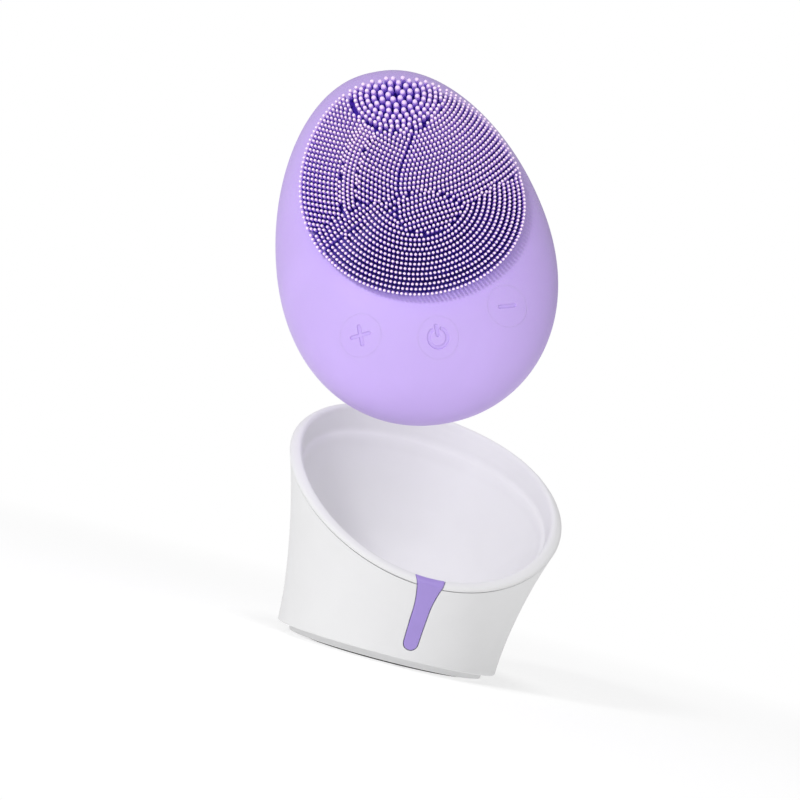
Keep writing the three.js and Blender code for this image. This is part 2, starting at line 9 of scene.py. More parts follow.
import bmesh
import bpy
import numpy as np
from mathutils import Matrix, Vector
from mathutils.geometry import delaunay_2d_cdt
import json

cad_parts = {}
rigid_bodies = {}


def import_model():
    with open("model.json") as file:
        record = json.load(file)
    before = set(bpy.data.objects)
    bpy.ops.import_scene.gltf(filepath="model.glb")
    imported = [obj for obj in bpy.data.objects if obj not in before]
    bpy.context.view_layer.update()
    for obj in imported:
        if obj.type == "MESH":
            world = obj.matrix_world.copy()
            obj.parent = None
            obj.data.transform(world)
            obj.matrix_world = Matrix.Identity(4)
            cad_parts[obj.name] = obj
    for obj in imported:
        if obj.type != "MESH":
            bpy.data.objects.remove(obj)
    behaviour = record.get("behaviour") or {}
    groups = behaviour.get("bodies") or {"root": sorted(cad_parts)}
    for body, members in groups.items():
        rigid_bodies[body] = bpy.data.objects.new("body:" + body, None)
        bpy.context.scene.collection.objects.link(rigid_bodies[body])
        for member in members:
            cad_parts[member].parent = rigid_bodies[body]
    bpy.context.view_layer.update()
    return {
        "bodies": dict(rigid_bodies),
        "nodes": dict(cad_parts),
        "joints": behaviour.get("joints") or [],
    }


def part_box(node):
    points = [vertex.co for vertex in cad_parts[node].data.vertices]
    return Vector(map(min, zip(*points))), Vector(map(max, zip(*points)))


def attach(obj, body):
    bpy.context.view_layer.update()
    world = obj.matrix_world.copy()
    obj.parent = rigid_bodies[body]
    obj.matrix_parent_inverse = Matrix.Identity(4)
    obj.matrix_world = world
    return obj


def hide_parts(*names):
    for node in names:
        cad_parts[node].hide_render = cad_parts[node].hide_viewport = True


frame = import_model()

# ---------------------------------------------------------------- driving dimensions, in millimetres

MM = 0.001

# Brush body: an egg whose cross-sections are superellipses.
EGG_HALF_WIDTH = 36.5
EGG_HALF_HEIGHT = 49.15
EGG_HALF_DEPTH = 22.7
EGG_WIDTH_TAPER = 0.16
EGG_DEPTH_TAPER = 0.1
EGG_SQUARENESS = 2.35  # of its cross-sections: 2 is an ellipse, more is squarer
EGG_TOP_SQUARENESS = 2.11  # of its outline above the middle
SKIN = 1.8
SKIN_STEPS = 66  # rings of the skin's mesh from the middle of the face to the equator
MOULD_LINE = 0.06  # depth of the moulded line round the equator

MOTOR_PLACE = (8, 27, 3.5)

# Buttons, as places in the brush's XY plane.
BUTTON_PLACES = {"plus": (-19.1, -26.1), "power": (0, -30.9), "minus": (19.1, -26.1)}
BUTTON_HOLE_RADIUS = 5.2
BUTTON_RADIUS = 5.185
BUTTON_STEM_RADIUS = 1.6
BUTTON_DEPTH = 3.8
SYMBOL_DEPTH = 0.42
SYMBOL_HALF_LINE = 0.3
SYMBOL_SLOPE = 0.24  # how far a symbol's wall slopes

# Bristled face: seen along the brush's +Z, an ellipse that narrows and leans a little towards its top.
FACE_HALF_WIDTH = 28.8
FACE_TAPER = 0.1
FACE_LEAN = -1.3
FACE_HALF_HEIGHT = 31.7
FACE_CENTRE = (1.3, 9.75)
BRISTLE_LENGTH = 4.8
BRISTLE_ROOT = 0.3  # how deep a bristle starts in the skin
BRISTLE_LEAN = np.array([-0.4, -0.6])  # how far a bristle leans in the middle of the face
BRISTLE_FAN = np.array([0.4, 0.8])  # how much further the outermost lean outward
FINE_PITCH = 1.1  # between neighbours along a row
ROW_PITCH = 1.27  # between rows
FINE_TIP_RADIUS = 0.36
TOUCH_HIGHLIGHT_CUT = 0.2  # how far the touch points are moved down the bristles' painted light, so their tips get less painted highlight
TOUCH_CENTRE = (2.8, 35.4)
TOUCH_PITCH = 2.15
TOUCH_TIP_RADIUS = 0.74
TOUCH_FADE = (3.5, 14.5)  # bristles shrink from large to fine between these distances
TOUCH_ZONE_RADIUS = 12.5

# Stand.
BASE_Z = 2.34
BASE_RADIUS = 30.2
RIM_RADIUS = 38.85
EDGE_RADIUS = 38.55
RIM_Z = 49.5
RIM_SLOPE = math.tan(math.radians(30.4))
RIM_SAG = 3.35
RIM_SQUASH = 0.03
RIM_SHIFT = 1.46
FLARE = 1.6
STAND_WALL = 1.4
BOWL_WALL = 0.9
BOWL_FLOOR_FACTOR = 1.2  # the cup's floor is thicker than its wall
BOWL_FLOOR_WALL = BOWL_FLOOR_FACTOR * BOWL_WALL
LIP_DROP = 2.2
PARTING = 0.16  # the fine line between the rim piece and the outer shell
LIP_OVERLAP = 1.9
GAP = 0.3
CUP_FLOOR_Z = 19.4
CUP_MIDDLE_RADIUS = 0.5  # of the innermost row of points
# Rows of the lip, from outside to inside: how far in from the rim's radius, and how far down.
LIP = [(0.05, 1.75), (0.35, 1.1), (1.1, 0.45), (1.9, 0.05), (2.45, 0), (3.0, 0.35)]
# Rows of the cup, from its collar down: radius, and height as a share of the way up to the lip.
CUP = [(35.3, 0.95), (35.0, 0.89), (34.65, 0.835), (34.1, 0.815), (33.1, 0.73)]
CUP += [(31.3, 0.6), (28.3, 0.4), (24, 0.2), (18, 0.07), (10, 0.02)]

# Inlay in the stand's low front.
INLAY_THICK = 0.7
INLAY_BED = 0.85
INLAY_GAP = 0.22
INLAY_END_RADIUS = 1.85
INLAY_END_Z = 6.9
INLAY_NECK = (2.05, 15.5)  # half width, height
INLAY_TOP = (3.85, 24.2)
INLAY_BEND_Z = 19.3  # where the strip starts to flare most

# Base and socket.
PAD_RADIUS = 22.4
PAD_HIGH = 0.9
FOOT_RADIUS = 26.6
FLANGE_RADIUS = 28.3
BASE_SCREW_CIRCLE = 24.7
BASE_SCREW_ANGLES = (30, 150, 270)
SCREW_HOLES = ((1.5, 0, 2.2), (1.0, 2, 5))  # of a screw's head and shank: radius, from, to
AXIS_RADIUS = 0.5  # where a turned profile starts and ends
SOCKET = {"half_x": 4.5, "low": 9.1, "high": 12.3, "from": 20, "to": 29.2}

FRONT = -math.pi / 2  # angle of the stand's low side


# ---------------------------------------------------------------- the brush's own frame


def brush_frame():
    """The brush's frame in the model: its axes as columns, and its origin in millimetres."""
    joints = {row["name"]: row for row in frame["joints"]}
    motor = joints["motor_spin"]
    across = np.array(motor["axis"])
    outward = -np.array(joints["power_press"]["axis"])
    upward = np.cross(outward, across)
    axes = np.column_stack([across, upward, outward])
    return axes, np.array(motor["pos_m"]) / MM - axes @ MOTOR_PLACE


BRUSH_AXES, BRUSH_ORIGIN = brush_frame()


def from_brush(points):
    return np.asarray(points, float) @ BRUSH_AXES.T + BRUSH_ORIGIN


def to_brush(points):
    return (np.asarray(points, float) - BRUSH_ORIGIN) @ BRUSH_AXES


def vertices_in_brush(mesh):
    return to_brush(np.array([vertex.co for vertex in mesh.vertices]) / MM)


# ---------------------------------------------------------------- meshes


class Shape:
    """Points and faces of one piece, gathered patch by patch."""

    def __init__(self):
        self.points = []
        self.faces = []
        self.count = 0

    def add(self, points, faces):
        points = np.asarray(points, float).reshape(-1, 3)
        self.faces += [[corner + self.count for corner in face] for face in faces]
        self.points.append(points)
        self.count += len(points)

    def grid(self, points, round_rows=False, loop_rows=False):
        """Quads over rows of points. round_rows closes each row, loop_rows joins the last to the first."""
        rows, columns = len(points), len(points[0])
        last_row = rows if loop_rows else rows - 1
        last_column = columns if round_rows else columns - 1
        faces = []
        for i in range(last_row):
            below = i * columns
            above = (i + 1) % rows * columns
            for j in range(last_column):
                k = (j + 1) % columns
                faces.append((below + j, below + k, above + k, above + j))
        self.add(points, faces)

    def disc(self, ring, centre):
        """Triangles from a ring of points to one point."""
        count = len(ring)
        points = np.vstack([ring, [centre]])
        self.add(points, [(j, (j + 1) % count, count) for j in range(count)])

    def mesh(self, name, in_brush=False):
        points = np.vstack(self.points)
        if in_brush:
            points = from_brush(points)
        mesh = bpy.data.meshes.new(name)
        mesh.from_pydata((points * MM).tolist(), [], self.faces)
        return mesh


def smooth(mesh, sharp):
    mesh.shade_smooth()
    mesh.set_sharp_from_angle(angle=math.radians(sharp))


def finish_mesh(mesh, weld=0.002, sharp=38):
    """Welds the patches, turns every face outward, and smooths all but the sharp edges."""
    work = bmesh.new()
    work.from_mesh(mesh)
    bmesh.ops.remove_doubles(work, verts=work.verts, dist=weld * MM)
    bmesh.ops.dissolve_degenerate(work, edges=work.edges, dist=weld * MM / 4)
    bmesh.ops.recalc_face_normals(work, faces=work.faces)
    work.to_mesh(mesh)
    work.free()
    smooth(mesh, sharp)
    return mesh


def new_object(name, data):
    item = bpy.data.objects.new(name, data)
    bpy.context.scene.collection.objects.link(item)
    return item


def add_piece(name, mesh, material, body, slot, *nodes):
    """A piece that rides on a body, wears a material and stands for CAD nodes."""
    piece = new_object(name, mesh)
    mesh.materials.append(material)
    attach(piece, body)
    if nodes:
        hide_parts(*nodes)
    return piece


def cut(piece, *cutters):
    """Subtracts closed meshes from a piece."""
    for mesh in cutters:
        tool = new_object("cutter", mesh)
        step = piece.modifiers.new("cut", "BOOLEAN")
        step.operation = "DIFFERENCE"
        step.solver = "EXACT"
        step.object = tool
        bpy.context.view_layer.update()
        evaluated = piece.evaluated_get(bpy.context.evaluated_depsgraph_get())
        result = bpy.data.meshes.new_from_object(evaluated)
        piece.modifiers.remove(step)
        piece.data = result
        bpy.data.objects.remove(tool)
    smooth(piece.data, 30)


def set_attribute(mesh, name, values):
    attribute = mesh.attributes.new(name, "FLOAT", "POINT")
    attribute.data.foreach_set("value", values.astype(np.float32))


def eased(share):
    """A share from 0 to 1 with a soft start and end."""
    return share * share * (3 - 2 * share)


def circle(centre, radius, count):
    turn = np.linspace(0, 2 * math.pi, count, endpoint=False)
    return np.column_stack([centre[0] + radius * np.cos(turn), centre[1] + radius * np.sin(turn)])


def turned(profile, sides, centre=(0, 0)):
    """A closed solid turned about a vertical axis, from rows of (radius, height)."""
    shape = Shape()
    rings = [
        np.column_stack([circle(centre, radius, sides), np.full(sides, height)])
        for radius, height in profile
    ]
    shape.grid(rings, round_rows=True)
    shape.disc(rings[0], (*centre, profile[0][1]))
    shape.disc(rings[-1], (*centre, profile[-1][1]))
    return shape


def bend(share, start, middle, end):
    """A point of a quadratic curve."""
    return (1 - share) ** 2 * start + 2 * share * (1 - share) * middle + share**2 * end


def rounded_profile(corners, radius, steps=4):
    """Rows of (radius, height) whose inner corners are rounded."""
    points = np.array(corners, float)
    rows = [points[0]]
    for before, corner, after in zip(points, points[1:], points[2:]):
        to_before, to_after = before - corner, after - corner
        reach_before, reach_after = np.linalg.norm(to_before), np.linalg.norm(to_after)
        reach = min(radius, reach_before * 0.45, reach_after * 0.45)
        start = corner + to_before / reach_before * reach
        end = corner + to_after / reach_after * reach
        for share in np.linspace(0, 1, steps):
            rows.append(bend(share, start, corner, end))
    rows.append(points[-1])
    return rows


# ---------------------------------------------------------------- materials


WAVE_RINGS = 3.183  # rings of the Wave node in one unit
MIX_INPUTS = (0, 6, 7)  # of the Mix node when it mixes colours: its share and the two colours
MIX_OUTPUT = 2


def set_inputs(node, **values):
    for name, value in values.items():
        node.inputs[name.replace("_", " ")].default_value = value


def add_node(tree, kind, **inputs):
    node = tree.nodes.new(f"ShaderNode{kind}")
    set_inputs(node, **inputs)
    return node


class Finish:
    """A Principled material with helpers for its procedural nodes. Patterns use object coordinates."""

    def __init__(self, name, roughness=0.5, metallic=0.0):
        self.material = bpy.data.materials.new(name)
        self.material.use_nodes = True
        self.tree = self.material.node_tree
        self.shader = self.tree.nodes["Principled BSDF"]
        self.place = add_node(self.tree, "TexCoord").outputs["Object"]
        self.height = None
        self.set(Roughness=roughness, Metallic=metallic)

    def link(self, output, target):
        self.tree.links.new(output, target)

    def set(self, **values):
        set_inputs(self.shader, **values)

    def texture(self, kind, size, **values):
        """A texture node whose features are about size millimetres across."""
        node = add_node(self.tree, f"Tex{kind}", Scale=1 / (size * MM), **values)
        self.link(self.place, node.inputs["Vector"])
        return node

    def noise(self, size, detail=3, rough=0.5, distortion=0.0):
        node = self.texture("Noise", size, Detail=detail, Roughness=rough, Distortion=distortion)
        return node.outputs["Fac"]

    def cells(self, size, feature="F1"):
        node = self.texture("Voronoi", size)
        node.feature = feature
        return node.outputs["Distance"]

    def rings(self, size):
        """Rings about Z, size millimetres apart."""
        node = self.texture("Wave", size * WAVE_RINGS)
        node.wave_type = "RINGS"
        node.rings_direction = "Z"
        return node.outputs["Fac"]

    def attribute(self, name):
        node = add_node(self.tree, "Attribute")
        node.attribute_name = name
        return node.outputs["Fac"]

    def ramp(self, value, stops):
        """Colours along a value, from rows of (position, colour)."""
        node = add_node(self.tree, "ValToRGB")
        bar = node.color_ramp
        while len(bar.elements) < len(stops):
            bar.elements.new(0.5)
        for element, (position, colour) in zip(bar.elements, stops):
            element.position = position
            element.color = (*colour, 1)
        self.link(value, node.inputs["Fac"])
        return node.outputs["Color"]

    def range(self, value, low, high, start=0.3, end=0.7):
        """A value between start and end, stretched to run from low to high."""
        node = add_node(self.tree, "MapRange", From_Min=start, From_Max=end, To_Min=low, To_Max=high)
        self.link(value, node.inputs["Value"])
        return node.outputs["Result"]

    def mix(self, share, first, second, mode="MIX"):
        node = add_node(self.tree, "Mix")
        node.data_type = "RGBA"
        node.blend_type = mode
        for value, index in zip((share, first, second), MIX_INPUTS):
            socket = node.inputs[index]
            if isinstance(value, bpy.types.NodeSocket):
                self.link(value, socket)
            else:
                socket.default_value = value if isinstance(value, (int, float)) else (*value, 1)
        return node.outputs[MIX_OUTPUT]

    def colour(self, output):
        self.link(output, self.shader.inputs["Base Color"])

    def rough(self, value, low, high):
        self.link(self.range(value, low, high), self.shader.inputs["Roughness"])

    def bump(self, value, depth):
        """Adds relief of a depth in millimetres on top of any that is there."""
        node = add_node(self.tree, "Bump", Strength=1.0, Distance=depth * MM)
        self.link(value, node.inputs["Height"])
        if self.height is not None:
            self.link(self.height, node.inputs["Normal"])
        self.height = node.outputs["Normal"]
        self.link(self.height, self.shader.inputs["Normal"])


def shaded(colour, factor):
    return tuple(channel * factor for channel in colour)


def moulded(name, colour, roughness, grain=0.35, grain_depth=0.008, spread=0.03):
    """Moulded plastic or rubber: a fine grain, faint flow in the colour, and uneven gloss."""
    finish = Finish(name, roughness)
    flow = finish.noise(14, detail=4, distortion=0.6)
    finish.colour(finish.ramp(flow, [(0.3, shaded(colour, 1 - spread)), (0.7, shaded(colour, 1 + spread))]))
    finish.rough(finish.noise(3.5, detail=5, rough=0.6), roughness - 0.06, roughness + 0.07)
    finish.bump(finish.noise(grain, detail=2), grain_depth)
    finish.bump(finish.noise(22, detail=1), 0.05)
    return finish


LILAC = (0.52, 0.385, 0.79)
# painted highlight of the bristles' tips
PAINTED_HIGHLIGHT_LILAC = (1.0, 0.82, 1.0)
# painted shade: at the bristles' roots and on the skin between them
PAINTED_SHADE_INDIGO = (0.05, 0.01, 0.36)
WHITE = (0.80, 0.80, 0.805)


def silicone_skin():
    finish = Finish("lilac_silicone_skin", 0.5)
    flow = finish.noise(18, detail=4, distortion=0.5)
    base = finish.ramp(flow, [(0.3, shaded(LILAC, 0.975)), (0.7, shaded(LILAC, 1.02))])
    # painted shade on the skin under the bristles, mixed in by this attribute
    painted_shade_under_bristles = finish.attribute("painted_shade_under_bristles")
    finish.colour(finish.mix(painted_shade_under_bristles, base, PAINTED_SHADE_INDIGO))
    finish.rough(finish.noise(2.4, detail=5, rough=0.6), 0.44, 0.58)
    finish.bump(finish.noise(0.28, detail=3), 0.006)
    finish.set(Subsurface_Weight=0.12, Subsurface_Radius=(1.0, 0.6, 1.0), Subsurface_Scale=0.0012)
    finish.set(Sheen_Weight=0.06, Sheen_Roughness=0.45, Specular_IOR_Level=0.4)
    return finish.material


def silicone_bristles():
    """Pale tips, a painted highlight, over painted shade at a deep violet root, as light dies between the
    bristles.
    """
    finish = Finish("lilac_silicone_bristles", 0.42)
    height = finish.attribute("bristle_height")
    # painted shade at each bristle's root, rising to a painted highlight at its tip
    along = finish.ramp(
        height,
        [(0.0, PAINTED_SHADE_INDIGO), (0.25, (0.22, 0.10, 0.80)), (0.55, (0.64, 0.44, 1.0)), (0.94, PAINTED_HIGHLIGHT_LILAC)],
    )
    tint = finish.ramp(finish.noise(5, detail=3), [(0.3, (0.95, 0.95, 0.98)), (0.7, (1, 1, 1))])
    finish.colour(finish.mix(1.0, along, tint, mode="MULTIPLY"))
    finish.rough(finish.noise(0.9, detail=3), 0.34, 0.5)
    finish.bump(finish.noise(0.16, detail=2), 0.004)
    finish.set(Subsurface_Weight=0.1, Subsurface_Radius=(1.0, 0.6, 1.0), Subsurface_Scale=0.0006)
    return finish.material


def satin_white():
    finish = moulded("white_plastic", WHITE, 0.52, grain=0.3, grain_depth=0.004, spread=0.012)
    finish.set(Specular_IOR_Level=0.35)
    return finish.material


def lilac_plastic():
    finish = moulded("lilac_plastic", (0.37, 0.27, 0.68), 0.38, grain=0.3, grain_depth=0.005)
    finish.set(Coat_Weight=0.1, Coat_Roughness=0.3)
    return finish.material


def patterned(name, pattern, stops, gloss, relief, metallic=0.0, gloss_detail=3, **values):
    """A finish whose colour and relief come from one pattern.

    pattern makes the pattern's value, stops are the colours along it, gloss is a noise's size and the
    roughness at its two ends, and relief is a depth in millimetres.
    """
    finish = Finish(name, metallic=metallic)
    value = pattern(finish)
    finish.colour(finish.ramp(value, stops))
    finish.rough(finish.noise(gloss[0], detail=gloss_detail), *gloss[1:])
    finish.bump(value, relief)
    finish.set(**values)
    return finish.material


def brushed_metal(name, colour, roughness):
    return patterned(
        name,
        lambda finish: finish.noise(0.12, detail=6, rough=0.7, distortion=0.3),
        [(0.25, shaded(colour, 0.82)), (0.75, colour)],
        (1.5, roughness - 0.08, roughness + 0.12),
        0.004,
        metallic=1.0,
        gloss_detail=4,
    )


def foam_or_rubber(name, grain):
    stops = [(0.1, (0.008, 0.008, 0.009)), (0.7, (0.035, 0.035, 0.037))]
    return patterned(name, lambda finish: finish.cells(grain), stops, (2, 0.75, 0.93), 0.05)


def circuit_board():
    """Green lacquer over a net of copper traces."""
    finish = Finish("circuit_board")
    traces = finish.cells(2.6, "DISTANCE_TO_EDGE")
    greens = [(0.05, (0.03, 0.22, 0.09)), (0.09, (0.015, 0.12, 0.05)), (0.4, (0.02, 0.14, 0.06))]
    finish.colour(finish.ramp(traces, greens))
    finish.rough(finish.noise(1.2), 0.28, 0.42)
    finish.bump(finish.range(traces, 1, 0, 0.04, 0.09), 0.03)
    finish.set(Coat_Weight=0.3, Coat_Roughness=0.15)
    return finish.material


def wound_copper():
    stops = [(0.1, (0.18, 0.06, 0.02)), (0.6, (0.66, 0.30, 0.13))]
    return patterned("wound_copper", lambda finish: finish.rings(0.5), stops, (0.8, 0.22, 0.4), 0.08, 0.9)


def sintered_ferrite():
    return patterned(
        "sintered_ferrite",
        lambda finish: finish.noise(0.25, detail=4, rough=0.7),
        [(0.3, (0.03, 0.03, 0.035)), (0.75, (0.11, 0.11, 0.12))],
        (1.5, 0.6, 0.82),
        0.03,
    )


def shrink_sleeve():
    return patterned(
        "cell_sleeve",
        lambda finish: finish.noise(4, distortion=2.0),
        [(0.3, (0.03, 0.09, 0.34)), (0.7, (0.05, 0.13, 0.44))],
        (1.2, 0.22, 0.4),
        0.12,
        Coat_Weight=0.3,
    )


def clear_lens():
    stops = [(0.3, (0.72, 0.78, 0.86)), (0.7, (0.86, 0.9, 0.95))]
    return patterned("led_lens", lambda finish: finish.noise(0.8), stops, (0.8, 0.08, 0.2), 0.01)


# ---------------------------------------------------------------- brush: the egg's surface


def egg_section(y):
    """Half width and half depth of the egg at a height."""
    share = y / EGG_HALF_HEIGHT
    power = np.where(share > 0, EGG_TOP_SQUARENESS, 2)
    round_off = np.maximum(0, 1 - np.abs(share) ** power) ** (1 / power)
    return (
        EGG_HALF_WIDTH * (1 - EGG_WIDTH_TAPER * share) * round_off,
        EGG_HALF_DEPTH * (1 - EGG_DEPTH_TAPER * share) * round_off,
    )


def other_coordinate(value):
    """On a unit superellipse, the height at a place across it."""
    inside = np.maximum(0, 1 - np.minimum(np.abs(value), 1) ** EGG_SQUARENESS)
    return inside ** (1 / EGG_SQUARENESS)


def face_height(x, y):
    """Height of the egg's front surface above its middle plane."""
    half_x, half_z = egg_section(y)
    return half_z * other_coordinate(x / half_x)


def egg_from_disc(p, q):
    """The front surface's point for a point of the unit disc, whose edge is the egg's equator."""
    distance = np.minimum(np.hypot(p, q), 1)
    angle = np.arctan2(q, p)
    reach = np.sin(distance * math.pi / 2)
    share = reach * np.sin(angle)
    across = reach * np.cos(angle) / np.sqrt(np.maximum(1 - share**2, 1e-12))
    y = EGG_HALF_HEIGHT * share
    half_x, half_z = egg_section(y)
    across = np.clip(across, -1, 1)
    return np.column_stack([half_x * across, y, half_z * other_coordinate(across)])


def disc_from_face(x, y):
    """The unit disc's point for a place of the face, seen along the brush's Z."""
    share = y / EGG_HALF_HEIGHT
    half_x, _ = egg_section(y)
    along = x / half_x * np.sqrt(1 - share**2)
    reach = np.hypot(along, share)
    distance = np.arcsin(np.minimum(reach, 1)) * 2 / math.pi
    return np.column_stack([distance * along / reach, distance * share / reach])


STRAIGHT_DOWN = 0.55  # share of the half depth above which the wall's thickness runs straight down


def inward(points):
    """Direction from the egg's surface into its wall: straight down under the face, radial at the edge."""
    radial = points * np.array([1.0, EGG_HALF_WIDTH / EGG_HALF_HEIGHT, 0])
    radial /= np.maximum(np.linalg.norm(radial, axis=1, keepdims=True), 1e-6)
    lift = eased(np.clip(points[:, 2:] / (STRAIGHT_DOWN * EGG_HALF_DEPTH), 0, 1))
    way = radial * (1 - lift)
    way[:, 2] = lift[:, 0]
    return -way / np.linalg.norm(way, axis=1, keepdims=True)


def egg_rings():
    """Points of the unit disc in rings of even spacing, and the points of its edge."""
    rings = []
    for i in range(1, SKIN_STEPS + 1):
        distance = i / SKIN_STEPS
        count = max(6, int(round(2 * math.pi * i)))
        turn = 2 * math.pi * (np.arange(count) + 0.5 * (i % 2)) / count
        rings.append(np.column_stack([distance * np.cos(turn), distance * np.sin(turn)]))
    return np.vstack(rings[:-1]), rings[-1]


HOLE_SIDES = 72
HOLE_RINGS = (0, 0.12, 0.3, 0.6, 1.0)  # distances of the mesh's rings from a hole's edge
HOLE_CLEARANCE = 0.35  # between the last of them and the rest of the mesh


def egg_half(with_holes):
    """Points and triangles of the egg's front half, in the unit disc, and the corners of each hole."""
    inner, edge = egg_rings()
    points = [edge]
    holes = []
    if with_holes:
        places = egg_from_disc(inner[:, 0], inner[:, 1])[:, :2]
        keep = np.ones(len(inner), bool)
        for centre in BUTTON_PLACES.values():
            distance = np.hypot(*(places - centre).T)
            keep &= distance > BUTTON_HOLE_RADIUS + HOLE_RINGS[-1] + HOLE_CLEARANCE
        inner = inner[keep]
        first = len(edge)
        for centre in BUTTON_PLACES.values():
            for extra in HOLE_RINGS:
                ring = circle(centre, BUTTON_HOLE_RADIUS + extra, HOLE_SIDES)
                points.append(disc_from_face(ring[:, 0], ring[:, 1]))
            holes.append(np.arange(first, first + HOLE_SIDES))
            first += HOLE_SIDES * len(HOLE_RINGS)
    points.append([[0, 0]])
    points.append(inner)
    points = np.vstack(points)
    corners, _, triangles, *_ = delaunay_2d_cdt(
        [Vector(point) for point in points], [], [list(range(len(edge)))], 1, 1e-9, False
    )
    if len(corners) != len(points):
        raise ValueError("the skin's mesh lost points")
    triangles = np.array([face for face in triangles if len(face) == 3])
    for hole in holes:
        in_hole = np.isin(triangles, hole).all(axis=1)
        triangles = triangles[~in_hole]
    return points, triangles, holes, len(edge)


def face_middle_and_half(share):
    """The face's middle and half width at a height, which is -1 at its bottom and 1 at its top."""
    return FACE_CENTRE[0] + FACE_LEAN * share, FACE_HALF_WIDTH * (1 - FACE_TAPER * share)


def face_distance(x, y, margin=0.0):
    """0 at the middle of the bristled face and 1 at its edge, or at a margin inside its edge."""
    share = (y - FACE_CENTRE[1]) / (FACE_HALF_HEIGHT - margin)
    middle, half = face_middle_and_half(share)
    return np.hypot((x - middle) / (half - margin), share)


# The skin is painted with shade between the bristles, a deep indigo for the light that dies there, up to
# just inside the face's edge, whose distance is 1.
SHADE_END = 0.975
SHADE_FADE = 0.03


def skin_mesh():
    """The whole silicone skin as one closed wall, with a hole for each button."""
    shape = Shape()
    for side, with_holes in ((1, True), (-1, False)):
        domain, triangles, holes, edge_count = egg_half(with_holes)
        outer = egg_from_disc(domain[:, 0], domain[:, 1])
        outer[:edge_count] *= 1 - MOULD_LINE / EGG_HALF_WIDTH
        inner = outer + SKIN * inward(outer)
        inner[:edge_count, 2] = 0
        mirror = np.array([1, 1, side])
        shape.add(outer * mirror, triangles[:, ::side].tolist())
        shape.add(inner * mirror, triangles[:, :: -side].tolist())
        for hole in holes:
            shape.grid([outer[hole] * mirror, inner[hole] * mirror], round_rows=True)
    mesh = finish_mesh(shape.mesh("silicone_skin", in_brush=True))
    local = vertices_in_brush(mesh)
    distance = face_distance(local[:, 0] + BRISTLE_LEAN[0], local[:, 1] + BRISTLE_LEAN[1])
    # painted shade on the front skin under the bristles, fading out near the face's edge
    shade = np.clip((SHADE_END - distance) / SHADE_FADE, 0, 1) * (local[:, 2] > 0)
    set_attribute(mesh, "painted_shade_under_bristles", shade)
    return mesh


# ---------------------------------------------------------------- brush: buttons


def line_distance(x, y, start, end):
    """Distance from points to a straight line between two places."""
    start, end = np.array(start, float), np.array(end, float)
    way = end - start
    share = ((x - start[0]) * way[0] + (y - start[1]) * way[1]) / (way @ way)
    share = np.clip(share, 0, 1)
    return np.hypot(x - start[0] - share * way[0], y - start[1] - share * way[1])


PLUS_HALF = 2.2
MINUS_HALF = 1.95


def plus_distance(x, y):
    across = line_distance(x, y, (-PLUS_HALF, 0), (PLUS_HALF, 0))
    return np.minimum(across, line_distance(x, y, (0, -PLUS_HALF), (0, PLUS_HALF)))


def minus_distance(x, y):
    return line_distance(x, y, (-MINUS_HALF, 0), (MINUS_HALF, 0))


POWER_RING_RADIUS = 2.35
POWER_OPENING = math.radians(32)  # half the opening at the top of the ring
POWER_BAR = ((0, 0.6), (0, 2.9))


def power_distance(x, y):
    turn = np.abs(np.arctan2(x, y))
    ring = np.abs(np.hypot(x, y) - POWER_RING_RADIUS)
    end = (POWER_RING_RADIUS * math.sin(POWER_OPENING), POWER_RING_RADIUS * math.cos(POWER_OPENING))
    ends = np.hypot(np.abs(x) - end[0], y - end[1])
    ring = np.where(turn < POWER_OPENING, ends, ring)
    return np.minimum(ring, line_distance(x, y, *POWER_BAR))


SYMBOLS = {"plus": plus_distance, "power": power_distance, "minus": minus_distance}


BUTTON_SIDES = 220
BUTTON_CAP_RADII = [*np.linspace(0.12, BUTTON_RADIUS - 0.1, 44), BUTTON_RADIUS]


def button_mesh(name):
    """A button: its cap carries on the skin's surface with a debossed symbol, and a stem is under it."""
    centre = BUTTON_PLACES[name]
    low_z = vertices_in_brush(frame["nodes"][f"{name}_button"].data)[:, 2].min()
    cap_low = face_height(*np.array(centre, float)) - BUTTON_DEPTH
    rings = []

    def add_ring(radius, z=None):
        """A ring on the skin's surface, sunk where the symbol is, or a level ring at a height."""
        x, y = circle((0, 0), radius, BUTTON_SIDES).T
        if z is None:
            share = np.clip((SYMBOLS[name](x, y) - SYMBOL_HALF_LINE) / SYMBOL_SLOPE, 0, 1)
            z = face_height(x + centre[0], y + centre[1]) - SYMBOL_DEPTH * (1 - eased(share))
        rings.append(np.column_stack([x + centre[0], y + centre[1], np.broadcast_to(z, x.shape)]))

    for radius in BUTTON_CAP_RADII:
        add_ring(radius)
    top = rings[0].mean(0)
    add_ring(BUTTON_RADIUS, cap_low)
    add_ring(BUTTON_STEM_RADIUS, cap_low)
    add_ring(BUTTON_STEM_RADIUS, low_z + 0.2)
    add_ring(BUTTON_STEM_RADIUS - 0.2, low_z)
    shape = Shape()
    shape.grid(rings, round_rows=True)
    shape.disc(rings[0], top)
    shape.disc(rings[-1], (*centre, low_z))
    return finish_mesh(shape.mesh(f"{name}_button_cap", in_brush=True), weld=0.001, sharp=60)


# ---------------------------------------------------------------- brush: bristles

